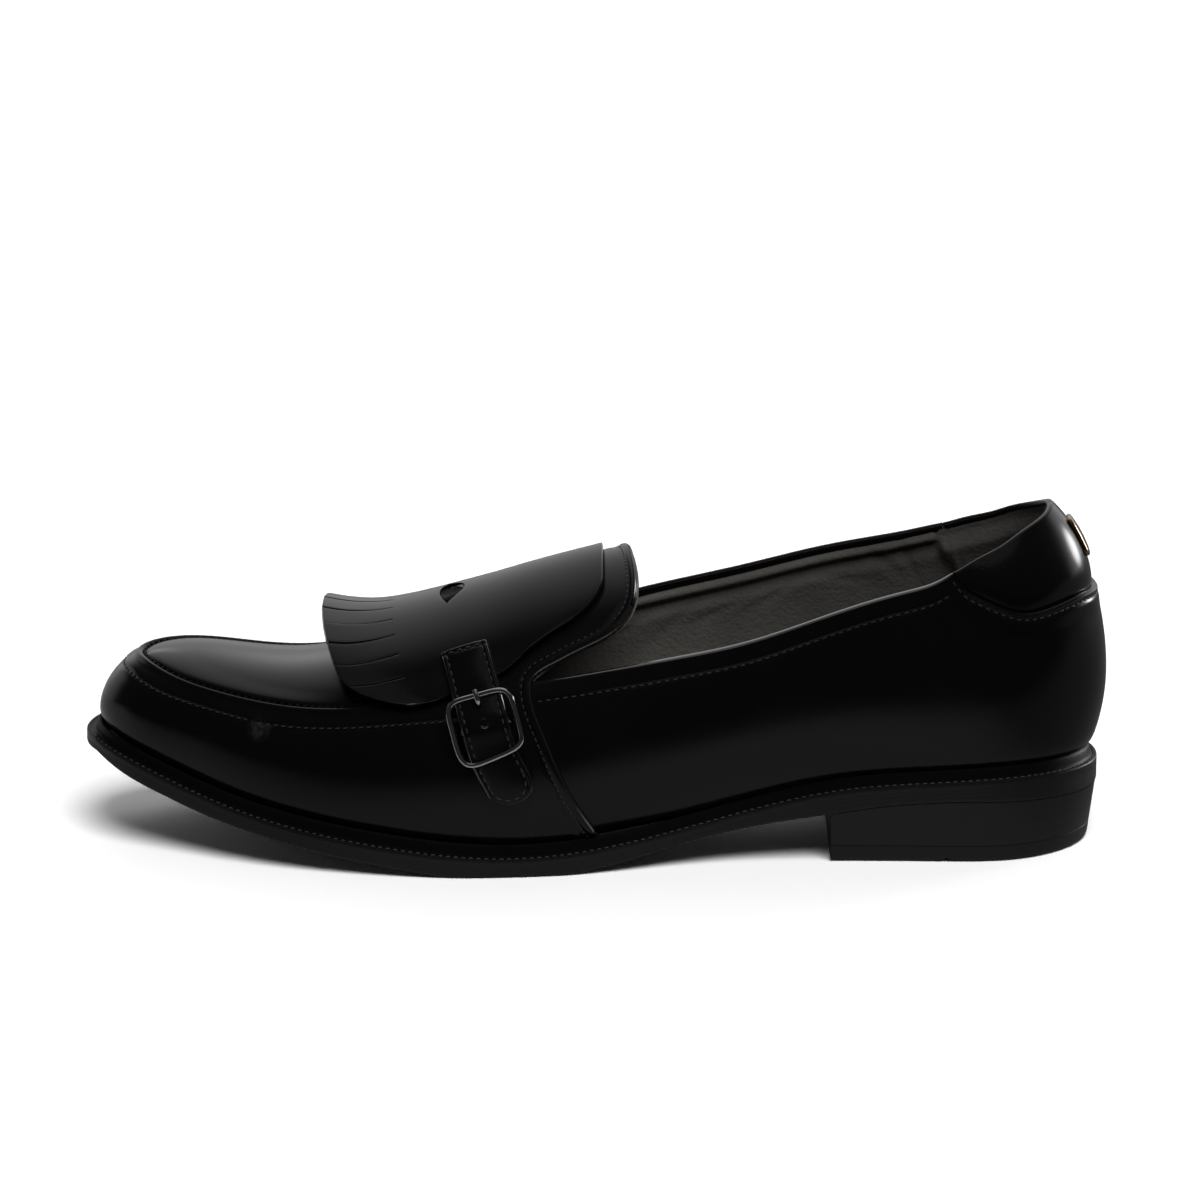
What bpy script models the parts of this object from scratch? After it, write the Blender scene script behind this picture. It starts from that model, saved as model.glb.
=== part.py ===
"""Single monk strap shoe for the left foot.

The toe points along -X and the outer (lateral) side faces -Y. Sizes are millimetres
in the tables and are turned into metres when a mesh is made. A place on the skin of
the shoe is given by d, the distance forward from the back of the heel, and q, the
share of the girth from the ridge (0) down to the foot of the outer wall (-1) or of
the inner wall (+1).
"""
import math

import bpy
import bmesh
import numpy as np

MM = 0.001
HALF_LENGTH = 134.0
HEEL_END = 5.0
TOE_END = 264.8

# Shape of the last, a row for each section from the heel to the toe.
LAST_COLUMNS = ("d", "lat", "med", "foot_z", "out_lat", "out_med", "out_up", "top_z", "top_y", "square")
LAST = np.array((
    (5.0, 0.0, 0.0, 24.2, 3.4, 3.4, 20.0, 97.0, 0.0, 1.90),
    (14.0, 19.5, 19.5, 24.9, 3.1, 3.1, 20.0, 98.3, 0.0, 1.92),
    (30.0, 27.8, 27.6, 25.0, 2.9, 2.9, 20.0, 98.5, 0.0, 2.00),
    (50.0, 28.2, 27.4, 23.8, 3.3, 3.5, 20.4, 96.8, 0.0, 2.08),
    (75.0, 27.8, 24.8, 21.3, 4.6, 6.3, 21.0, 91.7, 0.1, 2.10),
    (100.0, 28.8, 22.8, 15.5, 5.4, 8.6, 20.8, 84.3, 0.7, 2.10),
    (125.0, 33.2, 25.4, 10.1, 4.3, 8.0, 19.7, 76.2, 1.6, 2.09),
    (150.0, 37.3, 32.0, 7.3, 2.5, 4.8, 17.5, 69.0, 2.0, 2.05),
    (170.0, 38.4, 37.6, 7.8, 1.6, 2.6, 15.4, 61.7, 1.9, 2.13),
    (190.0, 36.9, 40.2, 10.1, 1.2, 1.8, 13.0, 54.4, 1.8, 2.25),
    (210.0, 32.8, 39.4, 13.2, 0.9, 1.2, 11.1, 49.6, 2.5, 2.35),
    (228.0, 26.2, 35.6, 17.1, 0.7, 0.8, 9.7, 48.6, 3.8, 2.46),
    (243.0, 18.6, 30.2, 21.6, 0.5, 0.6, 8.3, 48.6, 4.9, 2.52),
    (255.0, 11.8, 24.6, 25.9, 0.3, 0.4, 6.6, 46.0, 5.7, 2.44),
    (264.8, -6.0, 6.0, 29.4, 0.2, 0.2, 3.0, 30.6, 6.0, 2.30),
))
HEEL_AXIS = 32.0
FAN_FROM = 55.0
FAN_TO = 95.0
TUCK = 1.6
TUCK_UP = 1.8
PROFILE_POINTS = 81
LOW_SHARE = 0.25

# Lines of the outer quarter, heel back to throat: foot, mid wall, collar seam, collar edge.
QUARTER_COLUMNS = ("foot_d", "mid_d", "mid_q", "seam_d", "seam_q", "edge_d", "edge_q", "edge_q_inner")
QUARTER = np.array((
    (5.0, 5.0, 0.75, 5.0, 0.487, 5.0, 0.200, 0.200),
    (10.0, 10.0, 0.75, 10.0, 0.487, 10.0, 0.220, 0.235),
    (17.0, 17.0, 0.75, 17.0, 0.503, 17.0, 0.248, 0.275),
    (24.0, 24.0, 0.75, 24.0, 0.517, 24.0, 0.282, 0.310),
    (30.0, 30.0, 0.75, 30.0, 0.503, 30.0, 0.317, 0.340),
    (36.0, 36.0, 0.75, 36.5, 0.470, 36.5, 0.348, 0.362),
    (41.0, 41.0, 0.75, 41.0, 0.440, 42.0, 0.382, 0.376),
    (50.0, 50.0, 0.75, 50.0, 0.485, 50.0, 0.420, 0.390),
    (63.0, 63.0, 0.75, 63.0, 0.503, 63.0, 0.443, 0.402),
    (88.0, 89.0, 0.75, 90.0, 0.543, 90.0, 0.483, 0.396),
    (105.0, 110.0, 0.73, 112.0, 0.543, 114.0, 0.481, 0.380),
    (120.0, 130.0, 0.68, 131.0, 0.539, 134.0, 0.477, 0.395),
    (132.9, 147.8, 0.64, 151.0, 0.515, 150.6, 0.475, 0.440),
))

# Lines of the vamp from the outer throat round the toe to the inner throat.
VAMP_COLUMNS = ("foot_d", "outer_d", "outer_q", "inner_d", "inner_q", "edge_d", "edge_q")
VAMP = np.array((
    (132.9, 147.8, -0.640, 151.0, -0.515, 150.6, -0.475),
    (150.0, 160.0, -0.590, 162.0, -0.500, 146.0, -0.440),
    (168.0, 174.0, -0.578, 174.0, -0.495, 139.0, -0.410),
    (192.0, 194.0, -0.588, 195.0, -0.503, 131.0, -0.378),
    (216.0, 215.5, -0.600, 213.0, -0.497, 126.0, -0.330),
    (237.0, 233.5, -0.575, 230.0, -0.462, 124.0, -0.260),
    (254.0, 248.0, -0.510, 243.0, -0.385, 124.0, -0.170),
    (263.0, 256.0, -0.290, 250.6, -0.195, 124.8, -0.080),
    (264.8, 258.0, 0.000, 252.6, 0.000, 125.2, 0.000),
    (264.2, 257.0, 0.220, 251.6, 0.160, 124.8, 0.080),
    (259.5, 252.5, 0.385, 247.0, 0.275, 124.0, 0.170),
    (249.0, 243.5, 0.450, 238.5, 0.335, 124.0, 0.260),
    (232.0, 229.0, 0.462, 226.0, 0.355, 126.0, 0.330),
    (210.0, 210.0, 0.472, 209.0, 0.370, 131.0, 0.378),
    (186.0, 189.0, 0.507, 189.0, 0.410, 139.0, 0.405),
    (160.0, 168.0, 0.565, 169.0, 0.460, 146.0, 0.425),
    (132.9, 147.8, 0.640, 151.0, 0.515, 150.6, 0.440),
))
WALL = 2.0
FOOT_DROP = 4.1
UPPER_DROP = 3.9
VAMP_STEP = 0.6
QUARTER_STEP = -0.6
STEP_FADE = 26.0
BAND_STEP = 0.7
TAB_STEP = -0.9
TAB_FRONT = 40.0
STEP_RUN = 0.010
QUARTER_CUTS = 18
VAMP_CUTS = 32
WALL_ROWS = 5
BAND_ROWS = 2
TOP_ROWS = 8

# Sole: distance of its edge outside the foot line, and height of its underside.
SOLE_COLUMNS = ("d", "edge", "under")
SOLE = np.array((
    (5.0, 1.4, 15.2),
    (20.0, 1.5, 16.2),
    (40.0, 1.6, 16.6),
    (57.0, 1.6, 15.6),
    (74.0, 1.6, 13.2),
    (94.0, 1.7, 10.1),
    (114.0, 2.2, 6.0),
    (130.0, 2.9, 2.2),
    (144.0, 3.3, 0.0),
    (168.0, 3.5, 0.0),
    (182.0, 3.5, 1.5),
    (195.0, 3.5, 3.6),
    (209.0, 3.4, 6.0),
    (233.0, 3.3, 11.4),
    (247.0, 3.3, 15.8),
    (256.0, 3.3, 19.2),
    (264.8, 3.3, 23.4),
))
GAP = 0.3
OUTSOLE_TOP = -(FOOT_DROP + GAP)
EDGE_ROUND = 0.8
WELT_LEDGE = -2.3
WELT_EDGE_IN = 0.15
WELT_LEDGE_WIDE = 1.9
WELT_BEAD_IN = -0.8
WELT_INNER = -1.0
INSOLE_IN = -4.5
INSOLE_TOP = -1.7
OUTLINE_CUTS = 40
HEEL_CUTS = 14
BREAST = 74.0
TOP_PIECE = 4.5
HEEL_IN = 0.2

# Kiltie, a row for each line across it from the tongue to the fringe.
KILTIE_COLUMNS = ("d", "lift", "side_lift", "span")
KILTIE = np.array((
    (132.3, 1.3, 1.6, 0.318),
    (145.0, 1.4, 1.9, 0.380),
    (158.0, 1.7, 1.7, 0.452),
    (170.0, 2.6, 1.70, 0.490),
    (180.0, 3.6, 2.2, 0.510),
    (188.0, 4.8, 2.5, 0.520),
    (196.0, 7.0, 2.8, 0.527),
    (203.8, 10.0, 3.0, 0.530),
))
KILTIE_THICK = 1.4
KILTIE_REAR_ROUND = 8.0
KILTIE_REAR_FROM = 0.55
KILTIE_FRONT_D = 170.0
KILTIE_FRONT_ROUND = 9.0
KILTIE_LOBE = 13.0
KILTIE_LOBE_FROM = 0.72
KILTIE_FAN = 0.115
KILTIE_STRIPS = 11
KILTIE_SLIT = 0.45
KILTIE_GIRTH = 84.0
KILTIE_SLIT_FROM = 0.67
KILTIE_REAR_CUTS = 10
KILTIE_FRONT_CUTS = 4
SLOT_D = 171.4
SLOT_LONG = 5.6
SLOT_WIDE = 17.0
SLOT_Y = 2.0
SLOT_LOW = 54.0
SLOT_HIGH = 76.0

# Strap centre line from its sewn top end to its tip, and the lift of its underside.
STRAP_COLUMNS = ("d", "q", "lift")
STRAP = np.array((
    (167.4, -0.358, 3.75),
    (165.6, -0.455, 3.50),
    (164.0, -0.535, 3.35),
    (162.3, -0.612, 3.2),
    (160.1, -0.700, 1.9),
    (156.9, -0.775, 1.5),
    (155.0, -0.838, 1.4),
))
STRAP_WIDE = 12.8
STRAP_THICK = 1.4
STRAP_TIP = 6.0
STRAP_CUTS = 26
STRAP_ACROSS = 8
BUCKLE_AT = 22.8
BUCKLE_WIDE = 16.6
BUCKLE_LONG = 15.8
BUCKLE_SQUARE = 5.0
BUCKLE_CUTS = 40
BUCKLE_ROD = 1.0
BUCKLE_LIFT_TOP = 6.2
BUCKLE_LIFT_LOW = 4.6
BAR_LIFT = 2.1
BAR_ROD = 0.6
PRONG_ROD = 0.6
HOLE_ROD = 1.0
PRONG_HOLE = -4.55
SPARE_HOLE = 0.4

# Prong, from the bar through the strap's hole to the frame: place along the strap and lift.
PRONG_COLUMNS = ("along", "lift")
PRONG = np.array((
    (-1.5, 2.1),
    (-3.0, 2.2),
    (-4.1, 3.0),
    (-4.8, 4.6),
    (-5.5, 6.6),
    (-6.4, 7.9),
    (-7.7, 8.2),
    (-9.5, 7.8),
))

PLATE_HIGH = 11.0
PLATE_WIDE = 9.0
PLATE_THICK = 1.2
PLATE_LIFT = -0.5
PLATE_Q = 0.335

COLOURS = {
    "outsole": (0.02, 0.02, 0.02),
    "welt": (0.03, 0.03, 0.03),
    "heel_stack": (0.02, 0.02, 0.02),
    "top_piece": (0.02, 0.02, 0.02),
    "insole": (0.30, 0.28, 0.26),
    "upper": (0.012, 0.012, 0.013),
    "kiltie": (0.012, 0.012, 0.013),
    "strap": (0.012, 0.012, 0.013),
    "buckle_frame": (0.55, 0.55, 0.56),
    "buckle_prong": (0.55, 0.55, 0.56),
    "heel_plate": (0.55, 0.55, 0.56),
}
METALS = ("buckle_frame", "buckle_prong", "heel_plate")


def spline(knots, values, at):
    """Natural cubic through the knots."""
    knots = np.asarray(knots, float)
    values = np.asarray(values, float)
    step = np.diff(knots)
    count = len(knots)
    matrix = np.eye(count)
    right = np.zeros(count)
    for i in range(1, count - 1):
        matrix[i, i - 1:i + 2] = step[i - 1], 2 * (step[i - 1] + step[i]), step[i]
        right[i] = 6 * ((values[i + 1] - values[i]) / step[i] - (values[i] - values[i - 1]) / step[i - 1])
    bend = np.linalg.solve(matrix, right)
    at = np.asarray(at, float)
    i = np.clip(np.searchsorted(knots, at) - 1, 0, count - 2)
    a = (knots[i + 1] - at) / step[i]
    b = 1 - a
    curve = ((a ** 3 - a) * bend[i] + (b ** 3 - b) * bend[i + 1]) * step[i] ** 2 / 6
    return a * values[i] + b * values[i + 1] + curve


def steady(knots, values, at):
    """Cubic through the knots that never overshoots, so level stretches stay level."""
    knots = np.asarray(knots, float)
    values = np.asarray(values, float)
    step = np.diff(knots)
    rise = np.diff(values) / step
    slope = np.zeros(len(knots))
    slope[0], slope[-1] = rise[0], rise[-1]
    same = rise[:-1] * rise[1:] > 0
    mean = 2 * rise[:-1] * rise[1:] / np.where(same, rise[:-1] + rise[1:], 1)
    slope[1:-1] = np.where(same, mean, 0)
    at = np.clip(np.asarray(at, float), knots[0], knots[-1])
    i = np.clip(np.searchsorted(knots, at) - 1, 0, len(knots) - 2)
    t = (at - knots[i]) / step[i]
    first = (1 + 2 * t) * (1 - t) ** 2 * values[i] + t * (1 - t) ** 2 * step[i] * slope[i]
    second = t * t * (3 - 2 * t) * values[i + 1] + t * t * (t - 1) * step[i] * slope[i + 1]
    return first + second


def ease(value):
    """Smooth rise from 0 to 1."""
    value = np.clip(value, 0, 1)
    return value * value * (3 - 2 * value)


def station(d):
    """Section number -1 at the heel to 1 at the toe, so that both ends come out round."""
    middle, reach = (HEEL_END + TOE_END) / 2, (TOE_END - HEEL_END) / 2
    return np.arcsin(np.clip((np.asarray(d, float) - middle) / reach, -1, 1)) * 2 / math.pi


def forward(u):
    """Distance d from the heel back of a section number."""
    middle, reach = (HEEL_END + TOE_END) / 2, (TOE_END - HEEL_END) / 2
    return middle + reach * np.sin(np.asarray(u, float) * math.pi / 2)


def last(name, u):
    """One column of the last at section numbers u."""
    return spline(station(LAST[:, 0]), LAST[:, LAST_COLUMNS.index(name)], u)


def foot(side, u):
    """Foot line of the upper: plan place and height."""
    wide = np.where(side < 0, last("lat", u), last("med", u))
    return HALF_LENGTH - forward(u), side * wide, last("foot_z", u)


def outline_normal(side, u):
    """Plan direction square to the foot line, outwards."""
    near = 1e-3
    x0, y0, _ = foot(side, np.clip(u - near, -1, 1))
    x1, y1, _ = foot(side, np.clip(u + near, -1, 1))
    run = np.hypot(x1 - x0, y1 - y0)
    end = np.abs(u) > 1 - 1e-9
    return np.where(end, -np.sign(u), side * (y1 - y0) / run), np.where(end, 0, -side * (x1 - x0) / run)


def outward(side, u):
    """Plan direction a wall leans in: fans round the heel, straight across further forward."""
    nx, _ = outline_normal(side, u)
    nx = nx * (1 - ease((forward(u) - FAN_FROM) / (FAN_TO - FAN_FROM)))
    return nx, side * np.sqrt(np.clip(1 - nx ** 2, 0, 1))


def wall_lines(side, u):
    """Points of each wall line from foot to ridge: bulges out low down, then rounds over."""
    x, y, z = foot(side, u)
    nx, ny = outward(side, u)
    out = np.where(side < 0, last("out_lat", u), last("out_med", u))
    square = last("square", u)
    ridge = np.where(side < 0, last("top_y", u) - y, y - last("top_y", u))
    ridge = np.hypot(np.maximum(HEEL_AXIS - forward(u), 0), ridge)
    high = last("top_z", u) - z
    low = np.minimum(last("out_up", u), 0.6 * high)
    share = np.linspace(0, 1, PROFILE_POINTS)
    rise = np.clip(share / LOW_SHARE, 0, 1)
    turn = np.clip((share - LOW_SHARE) / (1 - LOW_SHARE), 0, 1) * math.pi / 2
    power = (2 / square)[:, None]
    across = np.maximum(np.cos(turn), 0) ** power
    over = np.sin(turn) ** power
    below = share < LOW_SHARE
    up = np.where(below, low[:, None] * rise, low[:, None] + (high - low)[:, None] * over)
    side_out = np.where(below, out[:, None] * np.sin(rise * math.pi / 2),
                        (out + ridge)[:, None] * across - ridge[:, None])
    tuck = TUCK * np.exp(-up / TUCK_UP)
    tuck_x, tuck_y = outline_normal(side, u)
    return np.stack((x[:, None] + nx[:, None] * side_out - tuck_x[:, None] * tuck,
                     y[:, None] + ny[:, None] * side_out - tuck_y[:, None] * tuck,
                     z[:, None] + up), -1)


def skin(d, q):
    """Points of the skin at distances d and girth shares q."""
    d, q = np.broadcast_arrays(np.asarray(d, float), np.asarray(q, float))
    flat_d, flat_q = d.ravel(), q.ravel()
    side = np.where(flat_q > 0, 1.0, -1.0)
    lines = wall_lines(side, station(flat_d))
    run = np.linalg.norm(np.diff(lines, axis=1), axis=2)
    run = np.concatenate((np.zeros((len(run), 1)), np.cumsum(run, axis=1)), axis=1)
    want = (1 - np.abs(flat_q)) * run[:, -1]
    i = np.clip((run <= want[:, None]).sum(axis=1) - 1, 0, PROFILE_POINTS - 2)
    row = np.arange(len(run))
    t = (want - run[row, i]) / np.maximum(run[row, i + 1] - run[row, i], 1e-9)
    place = lines[row, i] * (1 - t)[:, None] + lines[row, i + 1] * t[:, None]
    return place.reshape(d.shape + (3,))


def skin_normal(d, q):
    """Outward direction of the skin."""
    d = np.clip(np.asarray(d, float), HEEL_END + 0.02, TOE_END - 0.1)
    d, q = np.broadcast_arrays(d, np.asarray(q, float))
    u = station(d)
    near, share = 2e-3, 4e-3
    u0, u1 = np.clip(u - near, -1, 1), np.clip(u + near, -1, 1)
    low, high = np.clip(q - share, -1, 1), np.clip(q + share, -1, 1)
    along = skin(forward(u1), q) - skin(forward(u0), q)
    over = skin(d, high) - skin(d, low)
    normal = np.cross(over, along)
    return normal / np.maximum(np.linalg.norm(normal, axis=-1, keepdims=True), 1e-12)


def raised(d, q, lift):
    """Skin points moved off along the skin's normal."""
    return skin(d, q) + skin_normal(d, q) * np.asarray(lift, float)[..., None]


def new_object(name, verts, faces, collection):
    """Mesh object of one material from points in millimetres."""
    mesh = bpy.data.meshes.new(name)
    mesh.from_pydata((np.asarray(verts, float) * MM).tolist(), [], faces)
    mesh.validate()
    obj = bpy.data.objects.new(name, mesh)
    collection.objects.link(obj)
    if name in COLOURS:
        material = bpy.data.materials.new(name)
        material.use_nodes = True
        shader = material.node_tree.nodes["Principled BSDF"]
        shader.inputs["Base Color"].default_value = (*COLOURS[name], 1.0)
        shader.inputs["Metallic"].default_value = 1.0 if name in METALS else 0.0
        shader.inputs["Roughness"].default_value = 0.35
        mesh.materials.append(material)
    return obj


def face_out(obj):
    """Turns every face to look out of its body."""
    work = bmesh.new()
    work.from_mesh(obj.data)
    bmesh.ops.remove_doubles(work, verts=work.verts, dist=0.00002)
    bmesh.ops.recalc_face_normals(work, faces=work.faces)
    work.to_mesh(obj.data)
    work.free()


def solidify(obj, thick, outwards):
    """Gives an open sheet its thickness."""
    modifier = obj.modifiers.new("thickness", "SOLIDIFY")
    modifier.thickness = thick * MM
    modifier.offset = 1.0 if outwards else -1.0
    modifier.use_even_offset = False
    return modifier


def cut(obj, cutter):
    """Takes the cutter's shape out of a piece."""
    modifier = obj.modifiers.new(cutter.name, "BOOLEAN")
    modifier.operation = "DIFFERENCE"
    modifier.solver = "EXACT"
    modifier.object = cutter


def sheet_faces(rows, columns, closed=False, skip=None):
    """Quads of a grid of rows x columns, left out where skip says so."""
    faces = []
    last_column = columns if closed else columns - 1
    for r in range(rows - 1):
        for c in range(last_column):
            if skip is not None and skip(r, c):
                continue
            n = (c + 1) % columns
            faces.append((r * columns + c, r * columns + n, (r + 1) * columns + n, (r + 1) * columns + c))
    return faces


def sole_edge(u):
    """Distance of the sole edge outside the foot line."""
    return steady(SOLE[:, 0], SOLE[:, 1], forward(u))


def under(u):
    """Height of the outsole's underside."""
    return steady(SOLE[:, 0], SOLE[:, 2], forward(u))


def outline_ring(u, offset, height):
    """Ring round the foot line: outer side forwards, inner side back, moved out by offset."""
    sides = []
    for side in (-1.0, 1.0):
        x, y, _ = foot(np.full_like(u, side), u)
        nx, ny = outline_normal(np.full_like(u, side), u)
        x, y = x + nx * offset, y + ny * offset
        sides.append(np.stack((x, y, height(station(HALF_LENGTH - x))), -1))
    return np.concatenate((sides[0], sides[1][::-1]))


def over_foot(rise):
    """Height that follows the foot line."""
    return lambda u: last("foot_z", u) + rise


def over_under(rise):
    """Height that follows the outsole's underside."""
    return lambda u: under(u) + rise


def level(height):
    """One height all round."""
    return lambda u: np.full_like(u, height)


def ladder(start, count):
    """Cap over a ring, a rung for each station from the outer to the inner side."""
    top = start + 2 * count - 1
    return [(start + i, start + i + 1, top - i - 1, top - i) for i in range(count - 1)]


def slab(name, u, rings, collection):
    """Solid stacked from rings round the foot line with a cap below and above."""
    count = len(u)
    verts = np.concatenate([outline_ring(u, offset, height) for offset, height in rings])
    faces = sheet_faces(len(rings), 2 * count, closed=True)
    faces += ladder(0, count) + ladder((len(rings) - 1) * 2 * count, count)
    obj = new_object(name, verts, faces, collection)
    face_out(obj)
    return obj


def band(name, u, corners, collection):
    """Closed ring round the foot line with the section given by its corners."""
    count = 2 * len(u)
    verts = np.concatenate([outline_ring(u, offset, height) for offset, height in corners])
    faces = sheet_faces(len(corners), count, closed=True)
    end = (len(corners) - 1) * count
    faces += [(end + c, end + (c + 1) % count, (c + 1) % count, c) for c in range(count)]
    obj = new_object(name, verts, faces, collection)
    face_out(obj)
    return obj


def build_outsole(collection):
    """Sheet with a true outline, arch and toe spring."""
    u = np.linspace(-1, 1, OUTLINE_CUTS + 1)
    edge = sole_edge(u)
    rings = ((edge - EDGE_ROUND, over_under(0)), (edge, over_under(EDGE_ROUND)),
             (edge, over_foot(OUTSOLE_TOP)))
    return slab("outsole", u, rings, collection)


def build_welt(collection):
    """Narrow ring against the upper with a sloped inner lip."""
    u = np.linspace(-1, 1, OUTLINE_CUTS + 1)
    edge = sole_edge(u)
    outer = edge - WELT_EDGE_IN
    corners = ((WELT_INNER + 0 * u, over_foot(-UPPER_DROP)), (outer, over_foot(-UPPER_DROP)),
               (outer, over_foot(WELT_LEDGE)), (edge - WELT_LEDGE_WIDE, over_foot(WELT_LEDGE + GAP)),
               (WELT_BEAD_IN + 0 * u, over_foot(-GAP)))
    return band("welt", u, corners, collection)


def build_heel(collection):
    """Stack under the heel seat and the wearing piece below it."""
    u = np.linspace(-1, float(station(BREAST)), HEEL_CUTS + 1)
    edge = sole_edge(u)
    low = edge - 2 * HEEL_IN
    stack = ((low, level(TOP_PIECE + GAP)), (edge - HEEL_IN, over_under(-GAP)))
    wearing = ((edge - EDGE_ROUND, level(0)), (low, level(EDGE_ROUND / 2)), (low, level(TOP_PIECE)))
    slab("heel_stack", u, stack, collection)
    slab("top_piece", u, wearing, collection)


def build_insole(collection):
    """Sheet inside the foot of the upper."""
    u = np.linspace(-1, 1, OUTLINE_CUTS + 1)
    inner = INSOLE_IN + 0 * u
    slab("insole", u, ((inner, over_foot(-FOOT_DROP)), (inner, over_foot(INSOLE_TOP))), collection)


def between(table, at):
    """Rows of a table read between its lines."""
    rows = np.arange(len(table))
    return np.stack([spline(rows, table[:, k], at) for k in range(table.shape[1])], -1)


def rows_of(lines):
    """Places down each wall line through its four marks, with a pair of rows at each seam."""
    foot_mark, mid, seam, edge = lines
    steps = []
    for k in range(WALL_ROWS + 1):
        steps.append(foot_mark + (mid - foot_mark) * k / WALL_ROWS)
    for k in range(BAND_ROWS + 1):
        t = STEP_RUN * 12 + (1 - STEP_RUN * 24) * k / BAND_ROWS
        steps.append(mid + (seam - mid) * t)
    for k in range(TOP_ROWS + 1):
        t = STEP_RUN + (1 - STEP_RUN) * k / TOP_ROWS
        steps.append(seam + (edge - seam) * t)
    return np.stack(steps)


def quarter_lines(side):
    """Marks of one quarter from the heel back to the throat."""
    at = np.linspace(0, len(QUARTER) - 1, QUARTER_CUTS + 1)
    table = between(QUARTER, at)
    edge_q = table[:, 7] if side > 0 else table[:, 6]
    foot_mark = np.stack((table[:, 0], np.full(len(at), side)), -1)
    mid = np.stack((table[:, 1], side * table[:, 2]), -1)
    seam = np.stack((table[:, 3], side * table[:, 4]), -1)
    edge = np.stack((table[:, 5], side * edge_q), -1)
    return foot_mark, mid, seam, edge


def vamp_lines():
    """Marks of the vamp from the outer throat round the toe to the inner throat."""
    at = np.linspace(0, len(VAMP) - 1, VAMP_CUTS + 1)
    table = between(VAMP, at)
    table[:, 0] = np.minimum(table[:, 0], TOE_END)
    share = np.where(at < len(VAMP) // 2 - 1e-6, -1.0, np.where(at > len(VAMP) // 2 + 1e-6, 1.0, 0.0))
    return np.stack((table[:, 0], share), -1), table[:, 1:3], table[:, 3:5], table[:, 5:7]


def zone_steps(rows, vamp, tab=None, fade=None):
    """Height of each place over the skin: band, throat edge and heel tab."""
    lift = np.zeros(rows.shape[:2])
    first, second = WALL_ROWS + 1, WALL_ROWS + 1 + BAND_ROWS + 1
    if vamp:
        lift[first:second] += BAND_STEP
        lift += VAMP_STEP * fade[None, :]
    else:
        lift[second:] += TAB_STEP * tab[None, :]
        lift += QUARTER_STEP * fade[None, :]
    return lift


def build_upper(collection):
    """Hollow wall open at the collar and underneath, with the seams as steps in it."""
    grids = []
    for side in (-1.0, 1.0):
        rows = rows_of(quarter_lines(side))
        back = rows[-1, :, 0]
        tab = (back < TAB_FRONT).astype(float)
        fade = 1 - ease((rows[0, -1, 0] - rows[0, :, 0]) / STEP_FADE)
        lift = zone_steps(rows, False, tab, fade)
        grids.append(raised(rows[..., 0], rows[..., 1], lift))
    rows = rows_of(vamp_lines())
    along = np.minimum(np.arange(VAMP_CUTS + 1), np.arange(VAMP_CUTS + 1)[::-1]) / VAMP_CUTS * 16
    lift = zone_steps(rows, True, fade=1 - ease(along / 3.0))
    front = raised(rows[..., 0], rows[..., 1], lift)
    grid = np.concatenate((grids[0], front, grids[1][:, ::-1][:, :-1]), axis=1)
    base = skin(rows[0, :, 0], np.where(rows[0, :, 1] > 0, 1.0, -1.0))
    quarters = [skin(quarter_lines(side)[0][:, 0], quarter_lines(side)[0][:, 1]) for side in (-1.0, 1.0)]
    grid[0] = np.concatenate((quarters[0], base, quarters[1][::-1][:-1]))
    sole_line = grid[0].copy()
    sole_line[:, 2] = over_foot(-UPPER_DROP)(station(HALF_LENGTH - sole_line[:, 0]))
    grid = np.concatenate((sole_line[None], grid))
    count = grid.shape[1]
    obj = new_object("upper", grid.reshape(-1, 3), sheet_faces(len(grid), count, closed=True), collection)
    face_out(obj)
    solidify(obj, WALL, False)
    return obj


def round_corner(across, start):
    """Setback of a rounded corner: a quarter circle from start out to the side."""
    t = np.clip((across - start) / (1 - start), 0, 1)
    return 1 - np.sqrt(np.clip(1 - t ** 2, 0, 1))


def kiltie_place(k, w):
    """Skin place and lift of the kiltie at share k from rear to front and w across. Its corners are rounded
    and its fringe fans out towards the front."""
    d = spline(np.linspace(0, 1, len(KILTIE)), KILTIE[:, 0], k)
    lift, side_lift, span = (steady(KILTIE[:, 0], KILTIE[:, c], d) for c in (1, 2, 3))
    across = np.abs(w)
    front = np.clip((d - KILTIE_FRONT_D) / (KILTIE[-1, 0] - KILTIE_FRONT_D), 0, 1)
    edge = d + (1 - ease(k / 0.35)) * KILTIE_REAR_ROUND * round_corner(across, KILTIE_REAR_FROM)
    edge = edge - front * (KILTIE_FRONT_ROUND * across ** 2 + KILTIE_LOBE * round_corner(across, KILTIE_LOBE_FROM))
    fan = KILTIE_FAN * np.sin(math.pi * across) * ease((k - 0.55) / 0.45)
    up = side_lift + (lift - side_lift) * (1 - across ** 1.6)
    return edge, np.sign(w) * (across + fan) * span, up


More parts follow.
